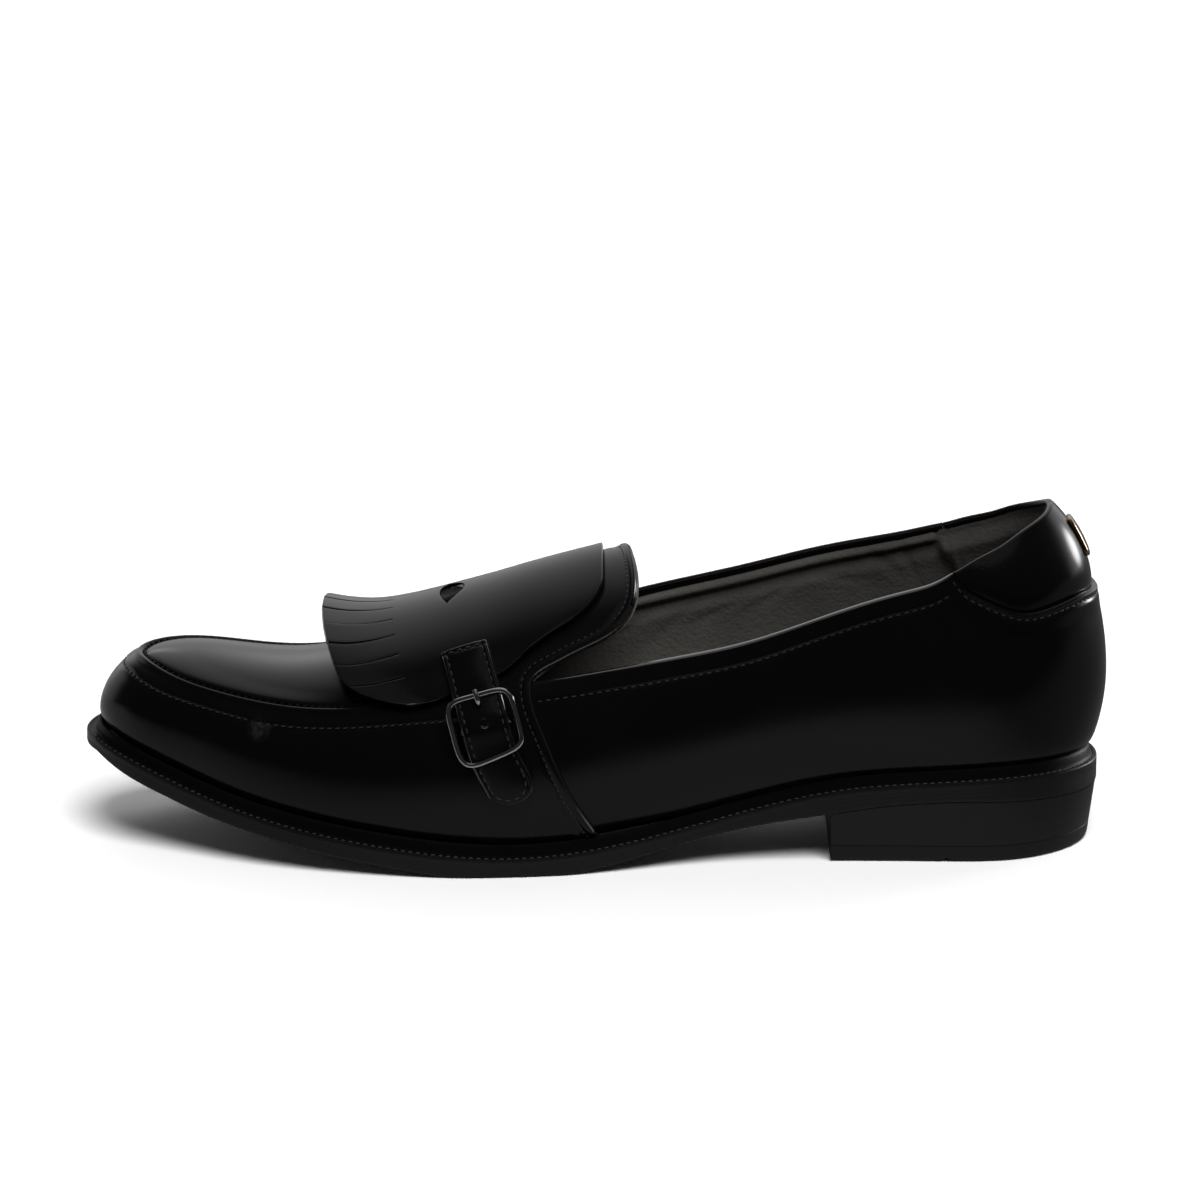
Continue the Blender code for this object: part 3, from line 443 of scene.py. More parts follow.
def cubic_weights(t):
    """Weights of four neighbours for a smooth curve through the middle two."""
    return (-0.5 * t ** 3 + t ** 2 - 0.5 * t, 1.5 * t ** 3 - 2.5 * t ** 2 + 1,
            -1.5 * t ** 3 + 2 * t ** 2 + 0.5 * t, 0.5 * t ** 3 - 0.5 * t ** 2)


def read_table(table, d, q):
    """Reads a skin table at places d, q with a cubic in both directions."""
    d, q = np.broadcast_arrays(np.asarray(d, float), np.asarray(q, float))
    rows, columns = table.shape[0] - 2, table.shape[1] - 2
    a = (station(d) + 1) / 2 * (rows - 1) + 1
    b = (np.clip(q, -1, 1) + 1) / 2 * (columns - 1) + 1
    i = np.clip(np.floor(a).astype(int), 1, rows - 1)
    j = np.clip(np.floor(b).astype(int), 1, columns - 1)
    wa, wb = cubic_weights(a - i), cubic_weights(b - j)
    total = 0
    for m in range(4):
        for n in range(4):
            total = total + (wa[m] * wb[n])[..., None] * table[i + m - 1, j + n - 1]
    return total


def skin(d, q):
    """Points of the skin."""
    return read_table(SKIN_POINTS, d, q)


def skin_normal(d, q):
    """Outward direction of the skin."""
    return unit(read_table(SKIN_NORMALS, np.clip(d, HEEL_END, TOE_END - TOE_SHY), q))


def lifted(d, q, lift):
    """Skin points moved off along the skin's normal."""
    return skin(d, q) + skin_normal(d, q) * np.asarray(lift, float)[..., None]


def to_flat(d, q):
    """Spreads the front of the skin flat round the toe tip: distance 1 minus the section number, turned
    by a quarter turn times q."""
    reach = 1 - station(d)
    return np.stack((reach * np.cos(q * math.pi / 2), reach * np.sin(q * math.pi / 2)), -1)


def from_flat(marks):
    """Skin places d, q of flat marks."""
    reach = np.hypot(marks[..., 0], marks[..., 1])
    return forward(1 - reach), np.arctan2(marks[..., 1], marks[..., 0]) * 2 / math.pi


def as_marks(marks):
    """Marks that already are d, q."""
    return marks[..., 0], marks[..., 1]


def strip(first, second, near_first, near_second, count, place):
    """Rows between two lines of marks: at set distances from each line and evenly between them. Gives d,
    q, the distance from the first line and the distance to the second."""
    t = np.linspace(0, 1, 17)[:, None, None]
    path = skin(*place(first + (second - first) * t))
    long = np.maximum(np.linalg.norm(np.diff(path, axis=0), axis=2).sum(axis=0), 1e-6)
    most = max(max(near_first, default=0), max(near_second, default=0), 1e-6)
    shrink = np.minimum(1, ROW_SHARE * long / most)
    start = np.array(near_first, float)[:, None] * shrink / long
    end = 1 - np.array(near_second, float)[:, None] * shrink / long
    low = start[-1] if len(start) else np.zeros_like(long)
    high = end[0] if len(end) else np.ones_like(long)
    middle = low + (high - low) * np.linspace(0, 1, count + 2)[1:-1, None]
    share = np.concatenate((start, middle, end))
    d, q = place(first + (second - first) * share[..., None])
    return d, q, share * long, (1 - share) * long


def even_columns(line, place, spacing):
    """Positions along a dense line of marks that are evenly spaced on the skin, and their run."""
    run = lengths(skin(*place(line)))
    count = int(round(run[-1] / spacing)) + 1
    want = np.linspace(0, run[-1], count)
    return np.interp(want, run, np.arange(len(run))), want


def at_rows(line, position):
    """Reads a dense line of marks at fractional positions."""
    return along_line(np.arange(len(line)), position, line)


def slopes(d, q):
    """How far a skin point moves for each step in d and in q."""
    by_d = (skin(d + FEEL_D, q) - skin(d - FEEL_D, q)) / (2 * FEEL_D)
    by_q = (skin(d, q + FEEL_Q) - skin(d, q - FEEL_Q)) / (2 * FEEL_Q)
    return by_d, by_q


def steps_towards(way, by_d, by_q):
    """Steps in d and q that move a skin point by 1 mm along a direction in the skin."""
    dd, qq, dq = (by_d ** 2).sum(-1), (by_q ** 2).sum(-1), (by_d * by_q).sum(-1)
    on_d, on_q = (way * by_d).sum(-1), (way * by_q).sum(-1)
    whole = dd * qq - dq ** 2
    return (on_d * qq - on_q * dq) / whole, (on_q * dd - on_d * dq) / whole


def beside(d, q, offset):
    """Moves each place of a line by a distance square to the line on the skin, to its left when looking
    along it from outside."""
    side = unit(np.cross(skin_normal(d, q), np.gradient(skin(d, q), axis=0)))
    move_d, move_q = steps_towards(side, *slopes(d, q))
    return d + offset * move_d, q + offset * move_q


def quads(rows, columns, wrap=False):
    """Corner numbers of the quads of a grid, closed round its columns if it wraps."""
    r, c = np.meshgrid(np.arange(rows - 1), np.arange(columns if wrap else columns - 1), indexing="ij")
    n = (c + 1) % columns
    faces = np.stack((r * columns + c, r * columns + n, (r + 1) * columns + n, (r + 1) * columns + c), -1)
    return faces.reshape(-1, 4)


def grid_part(points, out=None, wrap=False):
    """Grid of points with its quads, turned to look along the directions in out."""
    faces = quads(points.shape[0], points.shape[1], wrap)
    flat = points.reshape(-1, 3)
    if out is not None:
        corner = flat[faces]
        normal = np.cross(corner[:, 2] - corner[:, 0], corner[:, 3] - corner[:, 1])
        if (normal * out.reshape(-1, 3)[faces[:, 0]]).sum() < 0:
            faces = faces[:, ::-1]
    return flat, faces


def rounded_square(count, power, long, wide):
    """Points round a loop between an oval and a rectangle: its cosine and sine raised to a power."""
    angle = np.linspace(0, 2 * math.pi, count, endpoint=False)
    c, s = np.cos(angle), np.sin(angle)
    return np.sign(c) * np.abs(c) ** power * long / 2, np.sign(s) * np.abs(s) ** power * wide / 2


def joined(halves):
    """Grid of both sides from a grid of each, joined at the heel's back."""
    return np.concatenate((halves[0][:, ::-1], halves[1][:, 1:]), axis=1)


def placement():
    """Shift from the tables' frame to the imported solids: read from the outsole's toe and the plate's
    middle."""
    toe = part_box("outsole")[0][0] / MM
    low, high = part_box("heel_plate")
    return np.array((toe - (HALF_LENGTH - TOE_END - TOE_EDGE), (low[1] + high[1]) / 2 / MM, 0.0))


PLACE = placement()


def make_piece(name, parts, material, stands_for=None, closed=False, sharp=None, second=None):
    """One mesh from parts of points and quads, welded where they meet, riding on the shoe. A second
    material comes with a mark for each face that takes it."""
    points = np.concatenate([p for p, _ in parts])
    starts = np.cumsum([0] + [len(p) for p, _ in parts[:-1]])
    faces = np.concatenate([f + s for (_, f), s in zip(parts, starts)])
    mesh = bpy.data.meshes.new(name)
    mesh.from_pydata(((points + PLACE) * MM).tolist(), [], faces.tolist())
    mesh.materials.append(material)
    if second:
        mesh.materials.append(second[0])
        mesh.polygons.foreach_set("material_index", second[1].astype(np.int32))
    work = bmesh.new()
    work.from_mesh(mesh)
    bmesh.ops.remove_doubles(work, verts=work.verts, dist=WELD)
    bmesh.ops.dissolve_degenerate(work, edges=work.edges, dist=TOO_THIN)
    if closed:
        bmesh.ops.recalc_face_normals(work, faces=work.faces)
    work.to_mesh(mesh)
    work.free()
    mesh.shade_smooth()
    if sharp:
        mesh.set_sharp_from_angle(angle=math.radians(sharp))
    obj = bpy.data.objects.new(name, mesh)
    bpy.context.scene.collection.objects.link(obj)
    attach(obj, "root")
    if stands_for:
        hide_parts(stands_for)
    return obj


STITCH_ALONG = np.array((-1.0, -0.86, -0.4, 0.4, 0.86, 1.0))
STITCH_THICK = np.array((0.0, 0.72, 1.0, 1.0, 0.72, 0.0))
STITCH_DIP = 0.9
STITCH_FEEL = 0.3


def stitch_part(points, normals, pitch, long, thick, slant=0.0):
    """Row of stitches along a line: capsules of six rings, arched over the leather and dipping at their
    ends."""
    run = lengths(points)
    count = max(2, int(run[-1] / pitch))
    want = (np.arange(count) + 0.5) * run[-1] / count
    middle = along_line(run, want, points)
    up = unit(along_line(run, want, normals))
    tangent = along_line(run, want + STITCH_FEEL, points) - along_line(run, want - STITCH_FEEL, points)
    tangent = unit(tangent - up * (tangent * up).sum(1, keepdims=True))
    side = np.cross(up, tangent)
    tangent, side = (tangent * math.cos(slant) + side * math.sin(slant),
                     side * math.cos(slant) - tangent * math.sin(slant))
    rings = len(STITCH_ALONG)
    wide = STITCH_THICK * thick / 2
    high = -thick * STITCH_DIP * STITCH_ALONG ** 4
    angle = np.arange(rings) / rings * 2 * math.pi
    ring = up[:, None, None] * np.sin(angle)[None, None, :, None]
    ring = ring + side[:, None, None] * np.cos(angle)[None, None, :, None]
    place = middle[:, None, None] + tangent[:, None, None] * (STITCH_ALONG * long / 2)[None, :, None, None]
    place = place + up[:, None, None] * high[None, :, None, None] + ring * wide[None, :, None, None]
    one = quads(rings, rings, wrap=True)
    faces = one[None] + (np.arange(count) * rings ** 2)[:, None, None]
    return place.reshape(-1, 3), faces.reshape(-1, 4)


def sweep_part(points, normals, wide, high, sides, cyclic=False):
    """Rod along a line with an oval section: half width across and half height along the normals."""
    if cyclic:
        tangent = np.roll(points, -1, axis=0) - np.roll(points, 1, axis=0)
    else:
        tangent = np.gradient(points, axis=0)
    tangent = unit(tangent)
    up = unit(normals - tangent * (normals * tangent).sum(1, keepdims=True))
    side = np.cross(up, tangent)
    angle = np.arange(sides) / sides * 2 * math.pi
    wide = np.broadcast_to(wide, len(points))[:, None, None]
    high = np.broadcast_to(high, len(points))[:, None, None]
    ring = points[:, None] + side[:, None] * np.cos(angle)[None, :, None] * wide
    ring = ring + up[:, None] * np.sin(angle)[None, :, None] * high
    if cyclic:
        ring = np.concatenate((ring, ring[:1]))
    return ring.reshape(-1, 3), quads(len(ring), sides, wrap=True)


# Materials

def new_group(name, inputs, outputs):
    """Empty shader node group with float sockets."""
    group = bpy.data.node_groups.new(name, "ShaderNodeTree")
    for socket, value in inputs:
        made = group.interface.new_socket(socket, in_out="INPUT", socket_type="NodeSocketFloat")
        made.default_value = value
    for socket in outputs:
        group.interface.new_socket(socket, in_out="OUTPUT", socket_type="NodeSocketFloat")
    return group, group.nodes.new("NodeGroupInput"), group.nodes.new("NodeGroupOutput")


def math_node(tree, operation, first, second):
    """Math node with links or plain values as its two inputs."""
    node = tree.nodes.new("ShaderNodeMath")
    node.operation = operation
    for socket, value in zip(node.inputs, (first, second)):
        if isinstance(value, (int, float)):
            socket.default_value = value
        else:
            tree.links.new(value, socket)
    return node.outputs[0]


def noise_node(tree, vector, scale, detail, rough):
    """Noise texture's value on a vector; scale may be a link."""
    node = tree.nodes.new("ShaderNodeTexNoise")
    node.inputs["Detail"].default_value = detail
    node.inputs["Roughness"].default_value = rough
    tree.links.new(vector, node.inputs["Vector"])
    if isinstance(scale, (int, float)):
        node.inputs["Scale"].default_value = scale
    else:
        tree.links.new(scale, node.inputs["Scale"])
    return node.outputs[0]


def ramp_node(tree, value, low, high, to_low=0.0, to_high=1.0, smooth=True):
    """Value mapped from the range low to high, held at both ends, and eased into them if smooth."""
    node = tree.nodes.new("ShaderNodeMapRange")
    if smooth:
        node.interpolation_type = "SMOOTHSTEP"
    for socket, number in (("From Min", low), ("From Max", high), ("To Min", to_low), ("To Max", to_high)):
        node.inputs[socket].default_value = number
    tree.links.new(value, node.inputs["Value"])
    return node.outputs[0]


def mix_node(tree, share, first, second):
    """Colour between two colours by a share; the first may be a link."""
    node = tree.nodes.new("ShaderNodeMix")
    node.data_type = "RGBA"
    tree.links.new(share, node.inputs[0])
    if isinstance(first, tuple):
        node.inputs[6].default_value = (*first, 1.0)
    else:
        tree.links.new(first, node.inputs[6])
    node.inputs[7].default_value = (*second, 1.0)
    return node.outputs[2]


def coordinate(tree, kind):
    """Texture coordinate of one kind."""
    return tree.nodes.new("ShaderNodeTexCoord").outputs[kind]


def axis_value(tree, kind, axis):
    """One axis of a texture coordinate."""
    split = tree.nodes.new("ShaderNodeSeparateXYZ")
    tree.links.new(coordinate(tree, kind), split.inputs[0])
    return split.outputs[axis]


# Noises: scale, detail and roughness. The scale of the folds comes from the material.
FOLD_NOISE = (4.0, 0.6)
MOTTLE_NOISE = (38.0, 3.0, 0.55)
RUB_NOISE = (1.0, 5.0, 0.7)
SCUFF_NOISE = (900.0, 3.0, 0.6)
PORE_DEPTH = 0.6
MOTTLE_SHARE = 0.8
RUB_STRETCH = (160.0, 420.0, 900.0)
RUB_PEAKS = (0.56, 0.78)
GLOSS_RANGE = (0.3, 1.0)
# Object X range over which the painted light on the lining rises towards the toe.
LIT_FRONT_RANGE = (0.09, 0.01)
SCUFF_COLOUR = (0.036, 0.036, 0.037)
SCUFF_REACH = 3.9
SCUFF_D = 221.0
SCUFF_Q = -0.632
SCUFF_STREAKS = (0.30, 0.75)


def grain_group():
    """Leather grain: small rounded cells with pores between them, and slow mottling of the finish."""
    inputs = (("Cells", 1400.0), ("Folds", 220.0))
    group, inside, outside = new_group("leather_grain", inputs, ("Height", "Mottle"))
    where = coordinate(group, "Object")
    cells = group.nodes.new("ShaderNodeTexVoronoi")
    cells.feature = "SMOOTH_F1"
    group.links.new(where, cells.inputs["Vector"])
    group.links.new(inside.outputs["Cells"], cells.inputs["Scale"])
    folds = noise_node(group, where, inside.outputs["Folds"], *FOLD_NOISE)
    slow = noise_node(group, where, *MOTTLE_NOISE)
    pores = math_node(group, "MULTIPLY", cells.outputs["Distance"], PORE_DEPTH)
    group.links.new(math_node(group, "SUBTRACT", folds, pores), outside.inputs["Height"])
    group.links.new(slow, outside.inputs["Mottle"])
    return group


def rub_group():
    """Fine rub marks and dust: stretched noise, only its peaks kept."""
    group, inside, outside = new_group("rub_marks", (("Amount", 0.5),), ("Mask",))
    turn = group.nodes.new("ShaderNodeMapping")
    turn.inputs["Scale"].default_value = RUB_STRETCH
    group.links.new(coordinate(group, "Object"), turn.inputs["Vector"])
    streaks = noise_node(group, turn.outputs["Vector"], *RUB_NOISE)
    peaks = ramp_node(group, streaks, *RUB_PEAKS, smooth=False)
    group.links.new(math_node(group, "MULTIPLY", peaks, inside.outputs["Amount"]), outside.inputs["Mask"])
    return group


GRAIN = grain_group()
RUB = rub_group()


def painted_light_share(tree, lean):
    """Share of painted light that rises from the heel's back to the throat, so the front of the lining comes
    out lighter.
    """
    return ramp_node(tree, axis_value(tree, "Object", "X"), *LIT_FRONT_RANGE, to_high=lean, smooth=False)


def scuff_mask(tree, place):
    """Rubbed spot round a place: fades out with distance and is broken up by streaks."""
    where = coordinate(tree, "Object")
    away = tree.nodes.new("ShaderNodeVectorMath")
    away.operation = "DISTANCE"
    tree.links.new(where, away.inputs[0])
    away.inputs[1].default_value = place
    near = ramp_node(tree, away.outputs["Value"], SCUFF_REACH * MM, 0.0)
    streaks = ramp_node(tree, noise_node(tree, where, *SCUFF_NOISE), *SCUFF_STREAKS, smooth=False)
    return math_node(tree, "MULTIPLY", near, streaks)


def surface(name, dark, light, smooth, rough, cells, folds, depth, rub, specular=0.5, coat=0.0,
            coat_rough=0.1, metal=0.0, index=1.5, lean=0.0, scuff=None):
    """Material whose colour and roughness run between two values with the mottling and the rub marks. The
    grain is a bump with so many cells and folds to the metre, and a depth in mm. Lean is how much lighter it
    is painted towards the toe, a painted light, and scuff the place of a rubbed spot."""
    material = bpy.data.materials.new(name)
    material.use_nodes = True
    tree = material.node_tree
    shader = tree.nodes["Principled BSDF"]
    grain = tree.nodes.new("ShaderNodeGroup")
    grain.node_tree = GRAIN
    grain.inputs["Cells"].default_value = cells
    grain.inputs["Folds"].default_value = folds
    marks = tree.nodes.new("ShaderNodeGroup")
    marks.node_tree = RUB
    marks.inputs["Amount"].default_value = rub
    mottle = math_node(tree, "MULTIPLY", grain.outputs["Mottle"], MOTTLE_SHARE)
    share = math_node(tree, "ADD", mottle, marks.outputs["Mask"])
    # Painted light: lighter towards the toe by the lean.
    if lean:
        share = math_node(tree, "ADD", share, painted_light_share(tree, lean))
    colour = mix_node(tree, share, dark, light)
    if scuff is not None:
        colour = mix_node(tree, scuff_mask(tree, scuff), colour, SCUFF_COLOUR)
    tree.links.new(colour, shader.inputs["Base Color"])
    gloss = ramp_node(tree, share, *GLOSS_RANGE, smooth, rough, smooth=False)
    tree.links.new(gloss, shader.inputs["Roughness"])
    relief = tree.nodes.new("ShaderNodeBump")
    relief.inputs["Strength"].default_value = 1.0
    relief.inputs["Distance"].default_value = depth * MM
    tree.links.new(grain.outputs["Height"], relief.inputs["Height"])
    tree.links.new(relief.outputs["Normal"], shader.inputs["Normal"])
    settings = (("Specular IOR Level", specular), ("Metallic", metal), ("IOR", index), ("Coat IOR", index),
                ("Coat Weight", coat), ("Coat Roughness", coat_rough))
    for socket, value in settings:
        shader.inputs[socket].default_value = value
    return material


# Black finish of the polished leather: colours, gloss, grain and rub marks.
POLISHED = ((0.0015, 0.0015, 0.0016), (0.0040, 0.0040, 0.0042), 0.18, 0.29, 2600.0, 420.0, 0.010, 0.10)
BLACK_LEATHER = surface("polished_black_leather", *POLISHED, specular=0.32)
EDGE_LEATHER = surface("burnished_leather_edge", (0.0020, 0.0020, 0.0022), (0.0050, 0.0050, 0.0052),
                       0.14, 0.24, 2200.0, 500.0, 0.006, 0.15, specular=0.8, coat=1.0, coat_rough=0.07,
                       index=1.85)
VAMP_LEATHER = surface("polished_black_vamp_leather", *POLISHED, specular=0.32,
                       scuff=((skin(SCUFF_D, SCUFF_Q) + PLACE) * MM).tolist())
# The lining's lean paints it lighter towards the toe: painted light on its front.
LINING = surface("taupe_lining_leather", (0.030, 0.0283, 0.0258), (0.125, 0.118, 0.108), 0.50, 0.66,
                 1100.0, 300.0, 0.20, 0.15, specular=0.30, lean=0.6)
SOCK = surface("taupe_insole_leather", (0.070, 0.066, 0.060), (0.110, 0.104, 0.096), 0.48, 0.64,
               1100.0, 260.0, 0.10, 0.25, specular=0.35)
SOLE_RUBBER = surface("matte_black_sole", (0.004, 0.004, 0.004), (0.011, 0.011, 0.011), 0.46, 0.62,
                      1800.0, 300.0, 0.03, 0.45, specular=0.4)
HEEL_FINISH = surface("waxed_black_heel", (0.005, 0.005, 0.005), (0.012, 0.012, 0.012), 0.42, 0.58,
                      1600.0, 260.0, 0.03, 0.55, specular=0.4)
WELT_FINISH = surface("waxed_black_welt", (0.003, 0.003, 0.003), (0.009, 0.009, 0.009), 0.34, 0.52,
                      1700.0, 380.0, 0.03, 0.35, specular=0.4)
# Painted shade: a darker, less glossy finish for the welt's ledge and lip, where the groove under the upper
# is shaded.
LIP_SHADE_FINISH = surface("painted_shade_welt_lip", (0.0015, 0.0015, 0.0015), (0.004, 0.004, 0.004), 0.42, 0.60,
                     1700.0, 380.0, 0.03, 0.25, specular=0.15)
BLACK_THREAD = surface("black_thread", (0.002, 0.002, 0.002), (0.006, 0.006, 0.006), 0.40, 0.55,
                       5200.0, 1400.0, 0.04, 0.20, specular=0.3)
WAXED_THREAD = surface("waxed_black_thread", (0.014, 0.014, 0.014), (0.046, 0.046, 0.045), 0.24, 0.36,
                       5200.0, 1400.0, 0.03, 0.35, specular=0.6, coat=0.6, coat_rough=0.15)
# Painted shade: darker, less glossy leather for the vamp where the kiltie lies over it and shades it.
SHADE_PATCH_LEATHER = surface("painted_shade_black_leather", (0.0012, 0.0012, 0.0012), (0.0030, 0.0030, 0.0030),
                       0.60, 0.75, 2600.0, 420.0, 0.010, 0.10, specular=0.08)
WELT_THREAD = surface("grey_welt_thread", (0.038, 0.037, 0.034), (0.11, 0.104, 0.095), 0.45, 0.60,
                      5200.0, 1400.0, 0.05, 0.30, specular=0.4)
CHROME = surface("polished_dark_chrome", (0.50, 0.50, 0.51), (0.66, 0.66, 0.66), 0.05, 0.12,
                 900.0, 700.0, 0.002, 0.20, metal=1.0)
PLATE_METAL = surface("polished_bronze", (0.32, 0.22, 0.14), (0.50, 0.37, 0.25), 0.12, 0.24,
                      900.0, 700.0, 0.003, 0.25, metal=1.0)


# Vamp

# Rows of the vamp at distances from its seams and lines.
WALL_FOOT_ROWS = (0, 0.7, 1.6)
WALL_TOP_ROWS = (5, 3.7, 2.7, 2.0, 1.5, 1.1, 0.8, 0.55, 0.35, 0.18, 0)
BAND_FOOT_ROWS = (0.2, 0.4, 0.65, 0.95, 1.4, 2.0)
BAND_TOP_ROWS = (3.4, 2.8, 2.3, 1.9, 1.6, 1.3, 1.05, 0.8, 0.6, 0.42, 0.26, 0.12, 0)
PLUG_FIRST_ROWS = (0.15, 0.3, 0.5, 0.75, 1.1, 1.6, 2.4, 3.6, 5.5)
PLUG_LAST_ROWS = (6, 4, 2.6, 1.7)
VAMP_SPACING = 0.46
VAMP_STEP = 0.6
VAMP_FADE = 30.0
BAND_STEP = 0.55
OUTER_GROOVE = 0.15
OUTER_GROOVE_WIDE = 0.34
INNER_GROOVE = 0.50
INNER_GROOVE_WIDE = 0.42
INNER_LIP = 0.55
INNER_LIP_AT = 1.25
INNER_LIP_WIDE = 0.85
BAND_START = (-0.3, 1.5)
BAND_END = (-0.45, 0.8)
APRON_PITCH = 2.05
APRON_SLANT = 0.14
# Stitches of the apron's seams: length, thickness and rise over half the band.
OUTER_STITCH = (1.4, 0.42, -0.04)
INNER_STITCH = (1.6, 0.50, 0.05)
PUCKER = 0.035
PUCKER_AT = 0.2
PUCKER_WIDE = 0.7
WALL_PUFF = 0.08
WALL_PUFF_AT = 1.7
PLUG_RISE = 0.18
PLUG_RAMP = (0.3, 4.0)
PLUG_SWELL = 0.6
SWELL_IN = (0.1, 1.0)
SWELL_OUT = (2.0, 18.0)
SWELL_Q = 0.15
SWELL_D = (197.0, 20.0)
# Reach of the painted shade under the kiltie, along and across the vamp.
SHADE_PATCH_D = (150.0, 188.0)
SHADE_PATCH_Q = 0.3
LIP_D = (186.0, 10.0)
SEAM_RUN = (10.0, 9.0)
SEWN = 0.9
REAR_TUCK = 0.4
REAR_RAMP = (2.0, 1.3)
REAR_KNEE = (142.2, 0.80)
KNEE_FADE = 55.0
CREASE_D = 221.5
CREASE_Q = -0.622
CREASE_HIGH = 0.9
CREASE_LONG = 3.6
CREASE_TALL = 3.0
CREASE_GIRTH = 62.0
CREASE_FOLDS = 2.6
CREASE_FAN = 0.08
CREASE_DEEP = 0.28
DIP = 2.9
DIP_REAR = (165.0, 30.0)
DIP_FRONT = (206.0, 38.0)
DIP_OUTER = (-0.42, 0.5)
DIP_INNER = (0.5, 0.3)


def vamp_lines():
    """Dense flat marks of the vamp's four lines, from the outer throat round the toe to the inner throat."""
    toe = np.where(np.arange(len(VAMP)) < TOE_ROW, -1.0, 1.0)
    foot_marks = np.stack((0 * toe, toe * (1 - station(VAMP[:, 0]))), -1)
    lines = [foot_marks] + [to_flat(VAMP[:, k], VAMP[:, k + 1]) for k in (1, 3, 5)]
    at = np.linspace(0, len(VAMP) - 1, 3201)
    return [between(line, at) for line in lines]


def rear_path():
    """Dense places of the vamp's free edge: up its outer rear edge, round the tongue, down the inner rear
    edge."""
    outer = np.concatenate((REAR_EDGE * (1, -1), VAMP[:TOE_ROW + 1, 5:7]))
    inner = np.concatenate((VAMP[TOE_ROW + 1:, 5:7], REAR_EDGE[::-1]))
    marks = np.concatenate((outer, inner))
    run = lengths(marks * (1.0, GIRTH))
    at = np.linspace(0, run[-1], 2401)
    return np.stack((spline(run, marks[:, 0], at), spline(run, marks[:, 1], at)), -1)


def apron_profile(past_outer, past_inner, lip, full):
    """Height of the apron over the skin by the distances past its two seams: a band with a groove at its
    outer seam, and a rounded lip and a deeper groove at its inner seam, beyond which the plug lies lower.
    The lip and groove are scaled by the share lip, and where full is 1 the plug swells beside its
    seam."""
    swell = PLUG_SWELL * rising(past_inner, *SWELL_IN) * (1 - rising(past_inner, *SWELL_OUT))
    plug = PLUG_RISE * rising(past_inner, *PLUG_RAMP) + full * swell
    band = BAND_STEP * (rising(past_outer, *BAND_START) - rising(past_inner, *BAND_END))
    outer = WALL_PUFF * bump(past_outer + WALL_PUFF_AT, 1.0)
    outer = outer - OUTER_GROOVE * bump(past_outer, OUTER_GROOVE_WIDE)
    inner = INNER_LIP * bump(past_inner + INNER_LIP_AT, INNER_LIP_WIDE)
    inner = inner - INNER_GROOVE * bump(past_inner, INNER_GROOVE_WIDE)
    return band + outer + lip * inner + plug


def vamp_grid():
    """Vamp wall, band and plug as one grid: rows follow the seams, columns fan out from the foot line."""
    lines = vamp_lines()
    position, run = even_columns(lines[1], from_flat, VAMP_SPACING)
    position, run = position[2:-2], run[2:-2]
    marks = [at_rows(line, position) for line in lines]
    knee = (marks[0] + marks[1]) / 2
    for end, side in ((0, -1.0), (-1, 1.0)):
        bow = to_flat(REAR_KNEE[0], side * REAR_KNEE[1]) - knee[end]
        knee = knee + bow * (1 - ease(np.abs(run - run[end]) / KNEE_FADE))[:, None]
    low_wall = strip(marks[0], knee, WALL_FOOT_ROWS, (), 11, from_flat)
    high_wall = strip(knee, marks[1], (0,), WALL_TOP_ROWS, 13, from_flat)
    wall = [np.concatenate(pair) for pair in zip(low_wall, high_wall)]
    wall[3][:len(low_wall[3])] += high_wall[3][0]
    band = strip(marks[1], marks[2], BAND_FOOT_ROWS, BAND_TOP_ROWS, 3, from_flat)
    plug = strip(marks[2], marks[3], PLUG_FIRST_ROWS, PLUG_LAST_ROWS, 44, from_flat)
    d = np.concatenate((wall[0], band[0], plug[0]))
    q = np.concatenate((wall[1], band[1], plug[1]))
    past_outer = np.concatenate((-wall[3], band[2], band[2][-1:] + plug[2]))
    past_inner = np.concatenate((np.full_like(wall[3], -FAR), -band[3], plug[2]))
    to_edge = np.concatenate((np.full_like(wall[3], FAR), np.full_like(band[3], FAR), plug[3]))
    from_rear = np.minimum(np.minimum(run, run[::-1])[None, :], to_edge)
    lift = VAMP_STEP * (1 - ease(from_rear / VAMP_FADE))
    lift = lift - REAR_TUCK * (1 - rising(from_rear, *REAR_RAMP))
    waves = np.cos(2 * math.pi * run / APRON_PITCH)[None, :]
    swell = ease(-q / SWELL_Q) * rising(d, *SWELL_D)
    apron = apron_profile(past_outer, past_inner, rising(d, *LIP_D), swell)
    apron = apron + PUCKER * waves * bump(past_inner + PUCKER_AT, PUCKER_WIDE)
    sewn = rising(run, *SEAM_RUN)
    lift = lift + apron * sewn + vamp_creases(d, q) - vamp_dip(d, q)
    return d, q, lift, marks, sewn > SEWN


def vamp_creases(d, q):
    """Soft pucker under the outer seam: a small swelling with short folds fanning down from it."""
    along, down = d - CREASE_D, (CREASE_Q - q) * CREASE_GIRTH
    near = bump(along, CREASE_LONG) * bump(down, CREASE_TALL) * (q < 0)
    fan = 1 + CREASE_FAN * np.maximum(down + CREASE_TALL, 0)
    folds = 0.5 + 0.5 * np.cos(along * CREASE_FOLDS / fan)
    return CREASE_HIGH * near * (1 - CREASE_DEEP + CREASE_DEEP * folds)


def vamp_dip(d, q):
    """Hollow of the plug behind the toe, on the ridge and its inner side: smooth steps along and across."""
    along = rising(d, *DIP_REAR) * (1 - rising(d, *DIP_FRONT))
    return DIP * along * rising(q, *DIP_OUTER) * (1 - rising(q, *DIP_INNER))


